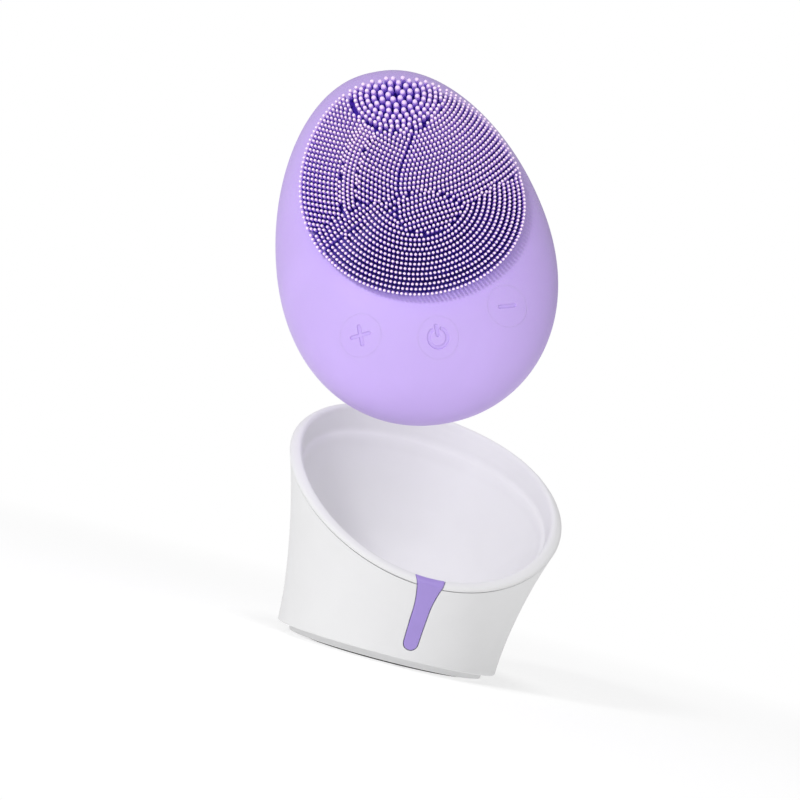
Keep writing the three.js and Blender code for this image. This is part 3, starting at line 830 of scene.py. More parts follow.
# Lines between the face's zones, as places in the brush's XY plane.
BAND_CENTRE = (15.6, 4.0)
BAND_OUTER_RADIUS = 32.95
BAND_INNER_RADIUS = 28.5
MIDDLE_LINE = [(-2.1, 4.5), (-2.0, 7.8), (-0.9, 11.1), (0.3, 13.6)]
MIDDLE_LINE += [(2.2, 16.8), (4.0, 19.7), (5.5, 22.7), (7.5, 25)]
LOW_LINE = [(-30, 1.8), (-23.9, 2.2), (-17.8, 4.6), (-13, 5.6), (-2, 5)]
SLANT_LINE = [(-30, -7), (-23.6, -4.4), (-19.2, -2.8), (-15.3, -1.0)]
SLANT_LINE += [(-12.5, 0.8), (-9.4, 2.2), (-5.5, 3.6), (-2, 5)]
EYE_LEFT = (-5, -1)
EYE_RIGHT = (14.2, -0.8)
EYE_TOP = [EYE_LEFT, (-4.4, 2.5), (-2, 5.2), (1, 6.4), (4.9, 5.7), (8.5, 4), (11.4, 1.9), EYE_RIGHT]
EYE_LOW = [EYE_LEFT, (-3.6, -3.6), (-1.4, -5.2), (1.5, -6.2), (4.4, -6.3)]
EYE_LOW += [(7.4, -5.6), (10.1, -4.2), EYE_RIGHT]
RIGHT_LINE = [EYE_RIGHT, (20, 2.5), (30, 7)]
LINES_MEET_X = -2  # where the slanting line reaches the middle


def distance_to(place, x, y):
    return np.hypot(x - place[0], y - place[1])


def along(line, value, by=0):
    """The other coordinate of a line of places, at a value of one of them."""
    table = np.array(sorted(line, key=lambda place: place[by]))
    return np.interp(value, table[:, by], table[:, 1 - by])


def face_zone(x, y):
    """Which zone of the face each place is in: 0 is outside the face."""
    left_part = x < LINES_MEET_X
    right_part = x >= EYE_RIGHT[0]
    under_eye_top = y < along(EYE_TOP, x)
    eye = (x > EYE_LEFT[0]) & ~right_part & under_eye_top & (y > along(EYE_LOW, x))
    above = np.where(right_part, y > along(RIGHT_LINE, x), y > along(EYE_TOP, x))
    above = np.where(left_part, y > along(SLANT_LINE, x), above)
    right_of_middle = x > along(MIDDLE_LINE, y, by=1)
    left = above & ~right_of_middle
    band = distance_to(BAND_CENTRE, x, y)
    zone = np.where(above & right_of_middle, 2, 1)
    zone = np.where(left, 3, zone)
    zone = np.where(left & (band > BAND_INNER_RADIUS), 4, zone)
    zone = np.where(left & (band > BAND_OUTER_RADIUS), 5, zone)
    zone = np.where((x < EYE_LEFT[0]) & above & (y < along(LOW_LINE, x)), 6, zone)
    zone = np.where(eye, 7, zone)
    zone = np.where(distance_to(TOUCH_CENTRE, x, y) < TOUCH_ZONE_RADIUS, 8, zone)
    return np.where(face_distance(x, y, 0.1) < 1, zone, 0)


def touch_share(x, y):
    """1 at the middle of the touch points, 0 where the bristles are fine."""
    near, far = TOUCH_FADE
    return np.clip((far - distance_to(TOUCH_CENTRE, x, y)) / (far - near), 0, 1)


def pitch_at(x, y):
    return FINE_PITCH + (TOUCH_PITCH - FINE_PITCH) * touch_share(x, y)


ROW_STEP = 0.06  # between the points that a row is made of
ROW_REACH = 60
TOUCH_ROW_PITCH = 0.9  # between the touch points' rows, in pitches


def round_row(centre, radius):
    return circle(centre, radius, int(2 * math.pi * radius / ROW_STEP))


def arc_rows(centre, near, far, pitch=ROW_PITCH):
    """Rows along circles about a centre."""
    for radius in np.arange(near, far, pitch):
        yield round_row(centre, radius)


def straight_rows(angle):
    way = np.array([math.cos(angle), math.sin(angle)])
    side = np.array([-way[1], way[0]])
    for offset in np.arange(-ROW_REACH, ROW_REACH, ROW_PITCH):
        yield np.outer(np.arange(-ROW_REACH, ROW_REACH, ROW_STEP), way) + side * offset + FACE_CENTRE


def edge_rows():
    """Rows that follow the face's edge."""
    for depth in np.arange(0.6, FACE_HALF_WIDTH - 2, ROW_PITCH):
        turn = np.linspace(0, 2 * math.pi, 3600, endpoint=False)
        y = (FACE_HALF_HEIGHT - depth) * np.sin(turn)
        middle, half = face_middle_and_half(y / FACE_HALF_HEIGHT)
        yield np.column_stack([middle + (half - depth) * np.cos(turn), FACE_CENTRE[1] + y])


def touch_rows():
    """Rows round the touch points' centre, whose spacing follows the bristles' size."""
    radius = TOUCH_ROW_PITCH * pitch_at(*TOUCH_CENTRE)
    while radius < TOUCH_ZONE_RADIUS + 2:
        yield round_row(TOUCH_CENTRE, radius)
        radius += TOUCH_ROW_PITCH * pitch_at(TOUCH_CENTRE[0] + radius, TOUCH_CENTRE[1])


ZONE_ROWS = {
    1: edge_rows,
    2: lambda: arc_rows((3.5, 38.0), 2, 60),
    3: lambda: arc_rows((38.0, 62.0), 20, 100),
    4: lambda: arc_rows(BAND_CENTRE, BAND_INNER_RADIUS + 0.56, BAND_OUTER_RADIUS, 1.11),
    5: lambda: arc_rows((8.6, 58.9), 5, 100),
    6: lambda: straight_rows(math.radians(24)),
    7: lambda: straight_rows(math.radians(8)),
    8: touch_rows,
}

ROOM = 0.79  # least distance between two bristles, in pitches
FILL_ROOM = 0.9  # the same, where gaps are filled
FILL_STEP = 0.15  # of the grid that gaps are filled from
FILL_AREA = ((-31, 33), (-24, 43))  # its reach in X and in Y
ZONE_MARGIN = 0.12  # clearance between a bristle's place and its zone's edge, in pitches


def stretches(row, zone):
    """Parts of a row that lie inside a zone, clear of its edges."""
    margin = ZONE_MARGIN * pitch_at(row[:, 0], row[:, 1])
    inside = face_zone(row[:, 0], row[:, 1]) == zone
    for turn in np.arange(8) * math.pi / 4:
        x, y = row[:, 0] + margin * math.cos(turn), row[:, 1] + margin * math.sin(turn)
        inside &= face_zone(x, y) == zone
    if inside.all():
        return [row]
    start = int(np.argmin(inside))
    row, inside = np.roll(row, -start, axis=0), np.roll(inside, -start)
    change = np.flatnonzero(np.diff(np.concatenate([[False], inside, [False]]).astype(int)))
    return [row[a:b] for a, b in zip(change[::2], change[1::2])]


def spread(part):
    """Places along a stretch of row, evenly spaced and about a pitch apart."""
    steps = np.linalg.norm(np.diff(part, axis=0), axis=1) if len(part) > 1 else np.zeros(0)
    pitch = pitch_at(part[:, 0], part[:, 1])
    middle = (pitch[1:] + pitch[:-1]) / 2
    count_along = np.concatenate([[0], np.cumsum(steps / middle)])
    total = count_along[-1]
    closed = len(part) > 8 and np.linalg.norm(part[0] - part[-1]) < 0.2
    if total < 0.5:
        wanted = [total / 2]
    elif closed:
        wanted = np.linspace(0, total, round(total), endpoint=False)
    else:
        wanted = np.linspace(0, total, int(total + 0.12) + 1)
    return np.column_stack([np.interp(wanted, count_along, part[:, k]) for k in (0, 1)])


def filler_places():
    """A fine grid over the face, from which gaps between the zones' rows are filled."""
    x, y = np.meshgrid(*(np.arange(*span, FILL_STEP) for span in FILL_AREA))
    places = np.column_stack([x.ravel(), y.ravel()])
    return places[face_distance(places[:, 0], places[:, 1], 0.5) < 1]


def with_place(kept, place, room):
    """The kept places and one more, if it has room."""
    if distance_to(place, *kept.T).min() > room * pitch_at(*place):
        return np.vstack([kept, place])
    return kept


def bristle_places():
    """Where the bristles stand: rows zone by zone, leaving out any that would touch another."""
    kept = np.full((1, 2), np.inf)
    for zone, rows in ZONE_ROWS.items():
        for row in rows():
            for part in stretches(row, zone):
                for place in spread(part):
                    kept = with_place(kept, place, ROOM)
    for place in filler_places():
        kept = with_place(kept, place, FILL_ROOM)
    return kept[1:]


BRISTLE_SIDES = 8
ROOT_FLARE = 1.2  # radius of a bristle's root, in radii of its tip
TIP_HEIGHT = 1.6  # height of its rounded tip, in the same radii
# Rings of a tip: share of its radius, and how far below its end as a share of its height.
TIP_RINGS = ((0.98, 0.55), (0.8, 0.2), (0.42, 0.04))


def bristles_mesh():
    places = bristle_places()
    share = touch_share(places[:, 0], places[:, 1])
    tip_radius = FINE_TIP_RADIUS + (TOUCH_TIP_RADIUS - FINE_TIP_RADIUS) * share
    outward = (places - FACE_CENTRE) / (FACE_HALF_WIDTH, FACE_HALF_HEIGHT)
    roots = places - BRISTLE_LEAN - BRISTLE_FAN * outward
    surface = face_height(roots[:, 0], roots[:, 1])
    cosines, sines = circle((0, 0), 1, BRISTLE_SIDES).T
    rings, heights = [], []
    root = surface - BRISTLE_ROOT
    tip = face_height(places[:, 0], places[:, 1]) + BRISTLE_LENGTH
    levels = [(ROOT_FLARE * tip_radius, root)]
    levels += [(factor * tip_radius, tip - drop * tip_radius * TIP_HEIGHT) for factor, drop in TIP_RINGS]
    for radius, z in levels:
        centres = roots + ((z - root) / (tip - root))[:, None] * (places - roots)
        x = centres[:, :1] + radius[:, None] * cosines
        y = centres[:, 1:] + radius[:, None] * sines
        rings.append(np.stack([x, y, np.repeat(z[:, None], BRISTLE_SIDES, axis=1)], axis=-1))
        along_it = (z - surface) / (tip - surface)
        heights.append(np.repeat(along_it[:, None], BRISTLE_SIDES, axis=1))
    apex = np.column_stack([places, tip])[:, None, :]
    points = np.concatenate([*rings, apex], axis=1)
    values = np.concatenate([*heights, np.ones((len(places), 1))], axis=1)
    # the touch points get less of the painted tip highlight
    values *= 1 - TOUCH_HIGHLIGHT_CUT * share[:, None]
    per_bristle = points.shape[1]
    faces = []
    for level in range(len(levels) - 1):
        for j in range(BRISTLE_SIDES):
            k = (j + 1) % BRISTLE_SIDES
            base = level * BRISTLE_SIDES
            faces.append((base + j, base + k, base + k + BRISTLE_SIDES, base + j + BRISTLE_SIDES))
    last = (len(levels) - 1) * BRISTLE_SIDES
    faces += [(last + j, last + (j + 1) % BRISTLE_SIDES, per_bristle - 1) for j in range(BRISTLE_SIDES)]
    faces.append(tuple(reversed(range(BRISTLE_SIDES))))
    shape = Shape()
    all_faces = [[corner + i * per_bristle for corner in face] for i in range(len(places)) for face in faces]
    shape.add(points, all_faces)
    mesh = shape.mesh("face_bristles", in_brush=True)
    smooth(mesh, 70)
    set_attribute(mesh, "bristle_height", np.clip(values, 0, 1).ravel())
    print(f"{len(places)} bristles, {sum(len(face) - 2 for face in faces) * len(places)} triangles")
    return mesh


# ---------------------------------------------------------------- stand: its curved walls


def rim_height(angle):
    sine = np.sin(angle)
    return RIM_Z + RIM_RADIUS * (1 - RIM_SQUASH) * sine * RIM_SLOPE - RIM_SAG * sine * sine


def plan_point(angle, radius, share, height):
    """A point at a polar angle and radius; share is 0 at the base and 1 at the rim."""
    x = radius * np.cos(angle)
    y = radius * (1 - RIM_SQUASH * share) * np.sin(angle) + RIM_SHIFT * share
    return np.stack([x, y, height + 0 * angle], axis=-1)


def wall_radius(share):
    return BASE_RADIUS + (EDGE_RADIUS - BASE_RADIUS) * share**FLARE


def wall_point(share, angle, drop=LIP_DROP + PARTING, inset=0):
    """A point of the outer wall, from share 0 at its foot to 1 at its top edge."""
    height = BASE_Z + share * (rim_height(angle) - drop - BASE_Z)
    return plan_point(angle, wall_radius(share) - inset, share**FLARE, height)


def lip_point(row, angle, depth=0):
    inset, drop = row
    radius = RIM_RADIUS - np.maximum(inset, depth)
    return plan_point(angle, radius, 1, rim_height(angle) - drop - depth)


def cup_point(row, angle, inset=0):
    radius, fraction = row
    edge = rim_height(angle) - LIP[-1][1]
    height = CUP_FLOOR_Z + fraction * (edge - CUP_FLOOR_Z)
    return plan_point(angle, radius + inset, fraction, height - inset * (BOWL_FLOOR_FACTOR - fraction))


def smooth_curve(controls, place):
    """A point of a smooth curve through controls, each an array of points, at a place counted in them."""
    controls = np.array(controls)
    steps = np.diff(controls, axis=0)
    lengths = np.maximum(np.linalg.norm(steps, axis=-1, keepdims=True), 1e-6)
    slopes = steps / lengths
    inner = slopes[1:] * lengths[:-1] + slopes[:-1] * lengths[1:]
    inner /= lengths[1:] + lengths[:-1]
    tangents = np.concatenate([slopes[:1], inner, slopes[-1:]])
    i = min(int(place), len(controls) - 2)
    s = place - i
    return (
        (2 * s**3 - 3 * s**2 + 1) * controls[i]
        + (s**3 - 2 * s**2 + s) * tangents[i] * lengths[i]
        + (3 * s**2 - 2 * s**3) * controls[i + 1]
        + (s**3 - s**2) * tangents[i + 1] * lengths[i]
    )


LIP_STEPS = 7
CUP_STEPS = 6


def bowl_controls(angle, depth):
    """The rim piece's visible side, from its outer edge over the lip and down the cup to its middle."""
    rows = [wall_point(1, angle, LIP_DROP, inset=depth)]
    rows += [lip_point(row, angle, depth) for row in LIP]
    rows += [cup_point(row, angle) for row in CUP]
    rows.append(plan_point(angle, CUP_MIDDLE_RADIUS, 0, CUP_FLOOR_Z))
    return rows


def bowl_at(place):
    """The rim piece's ring at a place: a function of angles and a depth, and the radius at its front."""

    def point_at(angle, depth):
        return smooth_curve(bowl_controls(angle, depth), place)

    front = point_at(np.array([FRONT]), 0)[0]
    return point_at, max((RIM_SHIFT - front[1]) / (1 - RIM_SQUASH), CUP_MIDDLE_RADIUS)


BOWL_LIP_END = len(LIP)  # the control at the lip's inner edge
BOWL_LIP_PLACES = np.linspace(0, BOWL_LIP_END, LIP_STEPS * BOWL_LIP_END + 1)
BOWL_END = BOWL_LIP_END + len(CUP) + 1
BOWL_CUP_PLACES = np.linspace(BOWL_LIP_END, BOWL_END, CUP_STEPS * (len(CUP) + 1) + 1)[1:]


# ---------------------------------------------------------------- stand: the inlay's outline


def outline_table(grow):
    """Rows of (height, half width) of the inlay seen from the front, grown by a clearance."""
    end = INLAY_END_RADIUS + grow
    half_widths = np.array([INLAY_NECK[0], INLAY_NECK[0] + 0.1, INLAY_TOP[0]]) + grow
    heights = (INLAY_NECK[1], INLAY_BEND_Z, INLAY_TOP[1])
    turn = np.linspace(-math.pi / 2, 0, 24)
    rows = [(INLAY_END_Z + end * math.sin(a), end * math.cos(a)) for a in turn]
    rows += [(bend(share, *heights), bend(share, *half_widths)) for share in np.linspace(0, 1, 24)]
    rows.append((INLAY_TOP[1] + 7, half_widths[-1] + 0.4))
    return np.array(rows)


def half_width(height, grow):
    table = outline_table(grow)
    return np.interp(height, table[:, 0], table[:, 1], left=0)


def front_angle(x, radius):
    """The angle near the front at which a ring of a radius has this x."""
    return -np.arccos(np.clip(np.asarray(x) / radius, -1, 1))


BED_COLUMNS = np.array([-1, -0.75, -0.5, -0.25, 0, 0.25, 0.5, 0.75, 1])
WALL_STEP = 0.02  # how far the bed's wall leans
SIDE_SHARES = np.array([0.06, 0.15, 0.28, 0.45, 0.7, 1])
SIDE_REACH = 9.0  # past this, the columns are evenly spaced
ROUND_COLUMNS = 150
BED_LEAST_HALF = 0.3  # the bed starts where it is this wide


def column_angles(half, radius):
    """Angles of a row's points round the stand, fitted to the inlay's outline, and which are in its bed."""
    right = half + WALL_STEP + (SIDE_REACH - half - WALL_STEP) * np.concatenate([[0], SIDE_SHARES])
    across = np.concatenate([-right[::-1], BED_COLUMNS * half, right])
    angles = front_angle(across, radius)
    start, end = angles[-1], angles[0] + 2 * math.pi
    rest = np.linspace(start, end, ROUND_COLUMNS)[1:-1]
    in_bed = np.zeros(len(across) + len(rest), bool)
    in_bed[len(right) : len(right) + len(BED_COLUMNS)] = True
    return np.concatenate([angles, rest]), in_bed


def row_with_bed(point_at, radius, bed):
    """A ring of points, sunk where the inlay's bed is. point_at gives points for angles and a depth."""
    middle = point_at(np.array([FRONT]), 0)[0]
    half = float(half_width(middle[2], INLAY_GAP)) if bed else 0.0
    for _ in range(3):
        edge = point_at(front_angle([half], radius), 0)[0]
        half = float(half_width(edge[2], INLAY_GAP)) if bed else 0.0
    half = half if half > BED_LEAST_HALF else 0.0
    angles, in_bed = column_angles(half, radius)
    points = point_at(angles, 0)
    if half > 0:
        points[in_bed] = point_at(angles[in_bed], INLAY_BED)
    return points


def wall_share(height):
    """How far up the wall a height is at the front."""
    front_top = float(rim_height(np.array(FRONT))) - LIP_DROP - GAP
    return (height - BASE_Z) / (front_top - BASE_Z)


def shell_shares():
    """Shares up the outer wall, close together round the inlay's end."""
    turn = np.linspace(0, math.pi / 2, 14)
    near_end = wall_share(INLAY_END_Z - (INLAY_END_RADIUS + INLAY_GAP) * np.cos(turn))
    low = np.linspace(0.01, near_end[0], 5)[:-1]
    high = np.linspace(near_end[-1], 0.985, 26)[1:]
    return np.concatenate([low, near_end, high])


# Rows that round the shell's lower and upper edges: share up the wall, and how far in.
SHELL_FOOT = ((0, 0.6), (0, 0.35), (0.003, 0.12))
SHELL_TOP = ((0.995, 0.02), (1, 0.12))


def shell_mesh():
    """The stand's outer shell as a closed wall."""
    rows = []

    def outside(share, inset=0.0, bed=True):
        def point_at(angle, depth):
            return wall_point(share, angle, inset=inset + depth)

        rows.append(row_with_bed(point_at, wall_radius(share) - inset, bed))

    for share, inset in SHELL_FOOT:
        outside(share, inset)
    for share in shell_shares():
        outside(share)
    for share, inset in SHELL_TOP:
        outside(share, inset)
    for share in np.linspace(1, 0, 16):
        outside(share, STAND_WALL, bed=False)
    shape = Shape()
    shape.grid(rows, round_rows=True, loop_rows=True)
    return finish_mesh(shape.mesh("stand_shell"))


def bowl_mesh():
    """The rim and the cup as one closed piece."""
    rows = []
    for place in [*BOWL_LIP_PLACES, *BOWL_CUP_PLACES]:
        rows.append(row_with_bed(*bowl_at(place), bed=place <= BOWL_LIP_END + 1e-9))
    first_below_bed = rows[len(BOWL_LIP_PLACES)]
    across = (first_below_bed[:, 1] - RIM_SHIFT) / (1 - RIM_SQUASH)
    angles = np.arctan2(across, first_below_bed[:, 0])
    under = [wall_point(1, angles, LIP_DROP, inset) for inset in (0.12, LIP_OVERLAP)]
    under += [cup_point(row, angles, BOWL_WALL) for row in CUP]
    under.append(plan_point(angles, CUP_MIDDLE_RADIUS, 0, CUP_FLOOR_Z - BOWL_FLOOR_WALL))
    shape = Shape()
    shape.grid([*under[::-1], *rows], round_rows=True)
    shape.disc(rows[-1], (0, 0, CUP_FLOOR_Z))
    shape.disc(under[-1], (0, 0, CUP_FLOOR_Z - BOWL_FLOOR_WALL))
    return finish_mesh(shape.mesh("stand_bowl_and_rim"))


INLAY_COLUMNS = np.array([-1, -0.985, -0.93, -0.8, -0.55, -0.28, 0, 0.28, 0.55, 0.8, 0.93, 0.985, 1])
INLAY_EDGE_SINK = np.where(np.abs(INLAY_COLUMNS) > 0.98, 0.025, 0.0)
INLAY_EDGE_SINK[[0, -1]] = 0.09
INLAY_END_SINK = (0.09, 0.02)  # of its first two rows


def inlay_row(point_at, radius, extra=0.0):
    """The top and bottom points across the inlay at one ring of the stand."""
    half = 1.0
    for _ in range(5):
        edge = point_at(front_angle([half], radius), 0)[0]
        half = float(half_width(edge[2], 0.0))
    angles = front_angle(INLAY_COLUMNS * max(half, 0.01), radius)
    top = [point_at(np.array([a]), sink + extra)[0] for a, sink in zip(angles, INLAY_EDGE_SINK)]
    return np.array(top), point_at(angles, INLAY_THICK)


def inlay_mesh():
    """The lilac strip in the stand's front, from its round end to the lip's inner edge."""
    rows = []
    turn = np.linspace(0.0, math.pi / 2, 14)
    shares = wall_share(INLAY_END_Z - INLAY_END_RADIUS * np.cos(turn))
    shares = np.concatenate([shares, np.linspace(shares[-1], 1, 26)[1:]])
    for i, share in enumerate(shares):

        def point_at(angle, depth, share=share):
            return wall_point(share, angle, inset=depth)

        extra = INLAY_END_SINK[i] if i < len(INLAY_END_SINK) else 0.0
        rows.append(inlay_row(point_at, wall_radius(share), extra))
    rows += [inlay_row(*bowl_at(place)) for place in BOWL_LIP_PLACES[2:]]
    shape = Shape()
    shape.grid([np.vstack([top, low[::-1]]) for top, low in rows], round_rows=True)
    for end in (rows[0], rows[-1]):
        shape.grid(end)
    return finish_mesh(shape.mesh("front_inlay_strip"), weld=0.001, sharp=50)


# ---------------------------------------------------------------- stand: base and socket


def base_screw_places():
    turn = np.radians(BASE_SCREW_ANGLES)
    return [(BASE_SCREW_CIRCLE * math.cos(a), BASE_SCREW_CIRCLE * math.sin(a)) for a in turn]


def base_plate_mesh():
    foot_low, flange_low, top = 0.6, 2.6, 4.2
    pad_bed = 1.2
    corners = [(AXIS_RADIUS, pad_bed), (PAD_RADIUS + GAP, pad_bed), (PAD_RADIUS + GAP, foot_low)]
    corners += [(FOOT_RADIUS, foot_low), (FOOT_RADIUS, flange_low), (FLANGE_RADIUS, flange_low)]
    corners += [(FLANGE_RADIUS, top), (AXIS_RADIUS, top)]
    return finish_mesh(turned(rounded_profile(corners, 0.25), 144).mesh("base_foot"), sharp=30)


def hole_cutter(centre, radius, low, high):
    return finish_mesh(turned([(radius, low), (radius, high)], 24, centre).mesh("cutter"))


def foot_pad_mesh():
    """A rubber pad with a rounded rim and three shallow rings in its underside."""
    corners = [(AXIS_RADIUS, 0)]
    for radius in (8, 13, 18):
        corners += [(radius - 0.4, 0), (radius - 0.2, 0.25), (radius + 0.2, 0.25), (radius + 0.4, 0)]
    corners += [(PAD_RADIUS, 0), (PAD_RADIUS, PAD_HIGH), (AXIS_RADIUS, PAD_HIGH)]
    return finish_mesh(turned(rounded_profile(corners, 0.2, 3), 128).mesh("foot_ring_pad"), sharp=30)


def base_screw_mesh(number, place):
    """A pan-head screw with a cross recess, head down."""
    low_z, high_z = (corner.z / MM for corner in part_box(f"base_screw_{number}"))
    neck = low_z + 1
    profile = [(0.1, low_z + 0.12), (0.55, low_z + 0.05), (0.95, low_z + 0.12), (1.15, low_z + 0.4)]
    profile += [(1.2, neck - 0.1), (1.15, neck), (0.7, neck)]
    for z in np.arange(neck + 0.4, high_z - 0.6, 0.6):
        profile += [(0.55, z), (0.7, z + 0.3)]
    profile += [(0.5, high_z - 0.2), (0.1, high_z)]
    return finish_mesh(turned(profile, 36, place).mesh(f"cross_screw_{number}"), sharp=35)


def cross_cutters(place, low_z):
    """Two crossed bars for a screw's recess."""
    signs = np.array([(-1, -1), (1, -1), (1, 1), (-1, 1)])
    meshes = []
    for half in ((0.75, 0.16), (0.16, 0.75)):
        outline = signs * half + place
        rows = [np.column_stack([outline, np.full(4, z)]) for z in (low_z - 1, low_z + 0.5)]
        shape = Shape()
        shape.grid(rows, round_rows=True)
        shape.add(rows[0], [(3, 2, 1, 0)])
        shape.add(rows[1], [(0, 1, 2, 3)])
        meshes.append(finish_mesh(shape.mesh("cutter")))
    return meshes


def stadium(half_x, low, high, y, sides=40):
    """A ring of points: a flat rounded opening in a plane across Y."""
    radius = (high - low) / 2
    middle = (high + low) / 2
    turn = np.linspace(0, 2 * math.pi, sides, endpoint=False) + math.pi / sides
    x = radius * np.cos(turn) + np.sign(np.cos(turn)) * (half_x - radius)
    return np.column_stack([x, np.full(sides, y), middle + radius * np.sin(turn)])


def loft(shape, stadiums):
    """A closed form over rounded outlines, each given as (half width, low, high, y)."""
    rows = [stadium(*outline) for outline in stadiums]
    shape.grid(rows, round_rows=True)
    for row, (_, low, high, y) in ((rows[0], stadiums[0]), (rows[-1], stadiums[-1])):
        shape.disc(row, (0, y, (low + high) / 2))


def socket_cutter():
    half_x, low, high = SOCKET["half_x"] + GAP, SOCKET["low"] - GAP, SOCKET["high"] + GAP
    shape = Shape()
    loft(shape, [(half_x, low, high, 27), (half_x, low, high, 34)])
    return finish_mesh(shape.mesh("cutter"))


def socket_mesh():
    """A USB-C receptacle: a rolled steel shell with the contact tongue inside."""
    half_x, low, high = SOCKET["half_x"], SOCKET["low"], SOCKET["high"]
    start, end = SOCKET["from"], SOCKET["to"]
    wall, edge = 0.35, 0.08
    insets = [(0, start), (0, end - 0.1), (edge, end)]
    insets += [(wall - edge, end), (wall, end - 0.1), (wall, start + 2)]
    shape = Shape()
    loft(shape, [(half_x - inset, low + inset, high - inset, y) for inset, y in insets])
    middle = (low + high) / 2
    tongue = [(3.3, 0.32, start + 1.5), (3.3, 0.32, end - 1), (3.1, 0.2, end - 0.8)]
    loft(shape, [(half, middle - thick, middle + thick, y) for half, thick, y in tongue])
    return finish_mesh(shape.mesh("usb_c_receptacle"), sharp=40)


# ---------------------------------------------------------------- pieces

SKIN_FINISH = silicone_skin()
WHITE_PLASTIC = satin_white()
STEEL = brushed_metal("brushed_steel", (0.62, 0.63, 0.65), 0.32)
PAD = foam_or_rubber("pad_rubber", 0.5)

SKINS = ("front_silicone_skin", "rear_silicone_skin")
add_piece("silicone_skin", skin_mesh(), SKIN_FINISH, "brush", "lilac_silicone", *SKINS)
add_piece("face_bristles", bristles_mesh(), silicone_bristles(), "brush", "lilac_silicone", "bristle_field")
for button in BUTTON_PLACES:
    node = f"{button}_button"
    add_piece(f"{node}_cap", button_mesh(button), SKIN_FINISH, node, "lilac_silicone", node)

shell = add_piece("stand_shell", shell_mesh(), WHITE_PLASTIC, "stand", "white_plastic", "stand_outer_shell")
cut(shell, socket_cutter())
add_piece("stand_bowl_and_rim", bowl_mesh(), WHITE_PLASTIC, "stand", "white_plastic", "stand_bowl")
add_piece("front_inlay_strip", inlay_mesh(), lilac_plastic(), "stand", "lilac_plastic", "front_inlay")

base = add_piece("base_foot", base_plate_mesh(), WHITE_PLASTIC, "stand", "white_plastic", "base_plate")
for screw_place in base_screw_places():
    cut(base, *(hole_cutter(screw_place, *hole) for hole in SCREW_HOLES))
add_piece("foot_ring_pad", foot_pad_mesh(), PAD, "stand", "black_rubber", "foot_pad")
for number, screw_place in enumerate(base_screw_places(), 1):
    node = f"base_screw_{number}"
    mesh = base_screw_mesh(number, screw_place)
    screw = add_piece(f"cross_screw_{number}", mesh, STEEL, "stand", "steel", node)
    cut(screw, *cross_cutters(screw_place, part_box(node)[0].z / MM))
add_piece("usb_c_receptacle", socket_mesh(), STEEL, "stand", "steel", "usb_c_socket")

# The pieces inside keep their CAD meshes.
CASE_SCREWS = [f"case_screw_{number}" for number in range(1, 5)]
SWITCHES = [f"{button}_switch" for button in BUTTON_PLACES]
CASE_PLASTIC = moulded("case_plastic", (0.72, 0.72, 0.72), 0.5, spread=0.02).material
GREY_PLASTIC = moulded("grey_plastic", (0.09, 0.092, 0.1), 0.55).material
CHIP_PLASTIC = moulded("chip_plastic", (0.012, 0.012, 0.014), 0.45, grain=0.12).material
INNER_FINISHES = [
    (CASE_PLASTIC, ["inner_front_case", "inner_rear_case", "battery_connector"]),
    (foam_or_rubber("seal_rubber", 0.6), ["case_gasket", "motor_sleeve"]),
    (foam_or_rubber("battery_foam", 1.1), ["battery_foam_pad"]),
    (STEEL, [*CASE_SCREWS, "motor_can", "motor_shaft", "ballast_ring"]),
    (CHIP_PLASTIC, [*SWITCHES, "controller_chip", "charger_chip"]),
    (circuit_board(), ["main_board", "stand_board"]),
    (clear_lens(), ["status_led"]),
    (shrink_sleeve(), ["battery_cell"]),
    (GREY_PLASTIC, ["motor_cradle", "coil_carrier"]),
    (wound_copper(), ["receiver_coil", "transmitter_coil"]),
    (brushed_metal("brass_weight", (0.60, 0.36, 0.16), 0.35), ["eccentric_weight"]),
    (sintered_ferrite(), ["receiver_ferrite", "transmitter_ferrite"]),
]
for finish, names in INNER_FINISHES:
    for name in names:
        node = frame["nodes"][name]
        node.data.materials.clear()
        node.data.materials.append(finish)

# ---------------------------------------------------------------- floor, lights and camera

BACKDROP = 1.0
FLOOR_GLOW = 0.55  # keeps the floor near white, so the object's shadow on it stays soft
FLOOR_FADE = (0.08, 0.45)  # metres; from the first distance to the second, it becomes pure white
STUDIO_FLOOR_RADIUS = 40  # metres


def grey(value):
    return value, value, value, 1


def mix_shaders(tree, share, first, second, output):
    mix = add_node(tree, "MixShader")
    for value, target in zip((share, first, second), mix.inputs):
        tree.links.new(value, target)
    tree.links.new(mix.outputs["Shader"], tree.nodes[output].inputs["Surface"])


def floor_finish():
    """A pale floor that fades into the white surroundings, so no horizon shows."""
    material = bpy.data.materials.new("pale_floor")
    material.use_nodes = True
    tree = material.node_tree
    shader = tree.nodes["Principled BSDF"]
    set_inputs(shader, Base_Color=grey(0.5), Roughness=0.8)
    set_inputs(shader, Emission_Color=grey(1), Emission_Strength=FLOOR_GLOW)
    glow = add_node(tree, "Emission", Color=grey(BACKDROP))
    length = add_node(tree, "VectorMath")
    length.operation = "LENGTH"
    tree.links.new(add_node(tree, "TexCoord").outputs["Object"], length.inputs[0])
    fade = add_node(tree, "MapRange", From_Min=FLOOR_FADE[0], From_Max=FLOOR_FADE[1])
    fade.interpolation_type = "SMOOTHSTEP"
    tree.links.new(length.outputs["Value"], fade.inputs["Value"])
    mix_shaders(
        tree, fade.outputs["Result"], shader.outputs["BSDF"], glow.outputs["Emission"], "Material Output"
    )
    return material


def add_floor():
    mesh = bpy.data.meshes.new("floor")
    rim = circle((0, 0), STUDIO_FLOOR_RADIUS, 96)
    mesh.from_pydata([(x, y, 0) for x, y in rim], [], [tuple(range(len(rim)))])
    mesh.materials.append(floor_finish())
    new_object("floor", mesh)


def collection_of(name, objects):
    group = bpy.data.collections.new(name)
    for item in objects:
        group.objects.link(item)
    return group


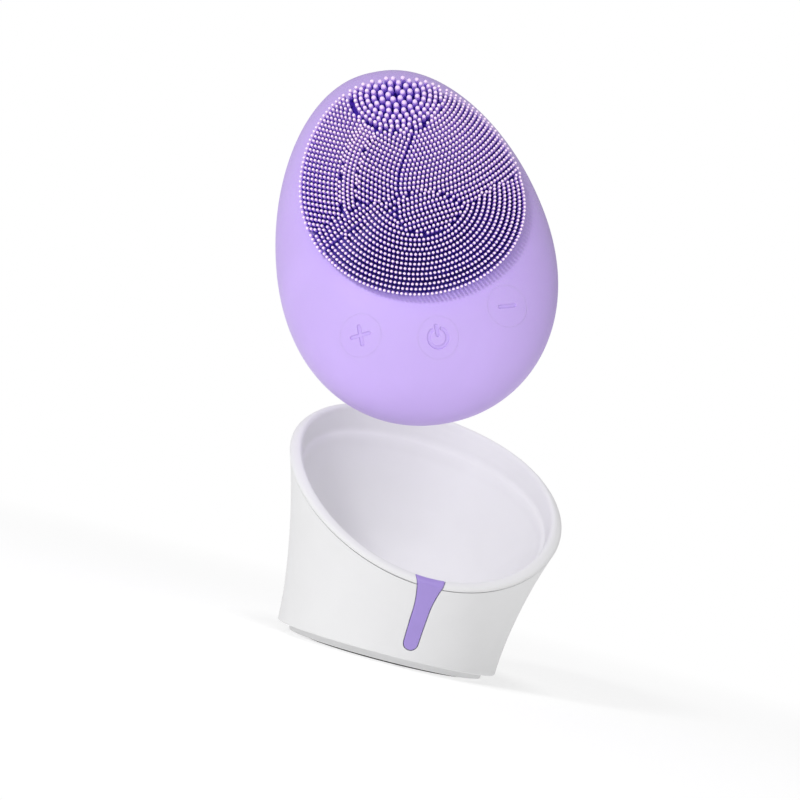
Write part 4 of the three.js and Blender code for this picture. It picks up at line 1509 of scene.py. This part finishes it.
def add_light(name, place, target, size, power, lit):
    """A round softbox. It lights only some objects, as the brush and its stand are lit apart."""
    data = bpy.data.lights.new(name, "AREA")
    data.shape = "DISK"
    data.size = size
    data.energy = power
    light = new_object(name, data)
    light.location = place
    light.rotation_mode = "QUATERNION"
    light.rotation_quaternion = (Vector(target) - Vector(place)).to_track_quat("-Z", "Y")
    group = collection_of(f"{name}_side", lit)
    light.light_linking.receiver_collection = group
    light.light_linking.blocker_collection = group


AMBIENT = 0.5  # strength of the light from all round


def add_surroundings():
    """Pale surroundings: what the camera sees is white, and what lights the object is dimmer."""
    world = bpy.data.worlds.new("studio")
    world.use_nodes = True
    tree = world.node_tree
    seen = tree.nodes["Background"]
    set_inputs(seen, Color=grey(BACKDROP), Strength=1.0)
    lit = add_node(tree, "Background", Color=grey(1), Strength=AMBIENT)
    is_seen = add_node(tree, "LightPath").outputs["Is Camera Ray"]
    mix_shaders(tree, is_seen, lit.outputs["Background"], seen.outputs["Background"], "World Output")
    bpy.context.scene.world = world


CAMERA_PLACE = (-0.09816, -0.50385, 0.03689)
CAMERA_AZIMUTH = math.radians(-9.57)
CAMERA_ELEVATION = math.radians(-3.46)
CAMERA_ROLL = math.radians(14.5)


def add_camera():
    data = bpy.data.cameras.new("camera")
    data.lens = 85
    data.sensor_width = 36
    data.clip_start = 0.01
    data.clip_end = 100
    camera = new_object("camera", data)
    az, el = CAMERA_AZIMUTH, CAMERA_ELEVATION
    right = Vector((math.cos(az), math.sin(az), 0))
    back = Vector((math.sin(az) * math.cos(el), -math.cos(az) * math.cos(el), math.sin(el)))
    axes = Matrix((right, back.cross(right), back)).transposed()
    axes = axes @ Matrix.Rotation(CAMERA_ROLL, 3, "Z")
    camera.matrix_world = Matrix.Translation(CAMERA_PLACE) @ axes.to_4x4()
    bpy.context.scene.camera = camera


add_floor()
add_surroundings()
MESHES = [item for item in bpy.context.scene.objects if item.type == "MESH"]
STAND_SIDE = [item for item in MESHES if item.parent in (None, frame["bodies"]["stand"])]
BRUSH_SIDE = [item for item in MESHES if item not in STAND_SIDE]
add_light("brush_key", (-0.54, -0.86, 0.3), (0, 0, 0.1), 0.13, 5.0, BRUSH_SIDE)
add_light("stand_top", (-0.1, -0.3, 1.04), (0, 0, 0.04), 0.4, 2.6, STAND_SIDE)
add_light("stand_key", (-0.75, -0.72, 0.55), (0, 0, 0.04), 0.22, 3.95, STAND_SIDE)
add_camera()
bpy.context.scene.view_settings.view_transform = "Standard"
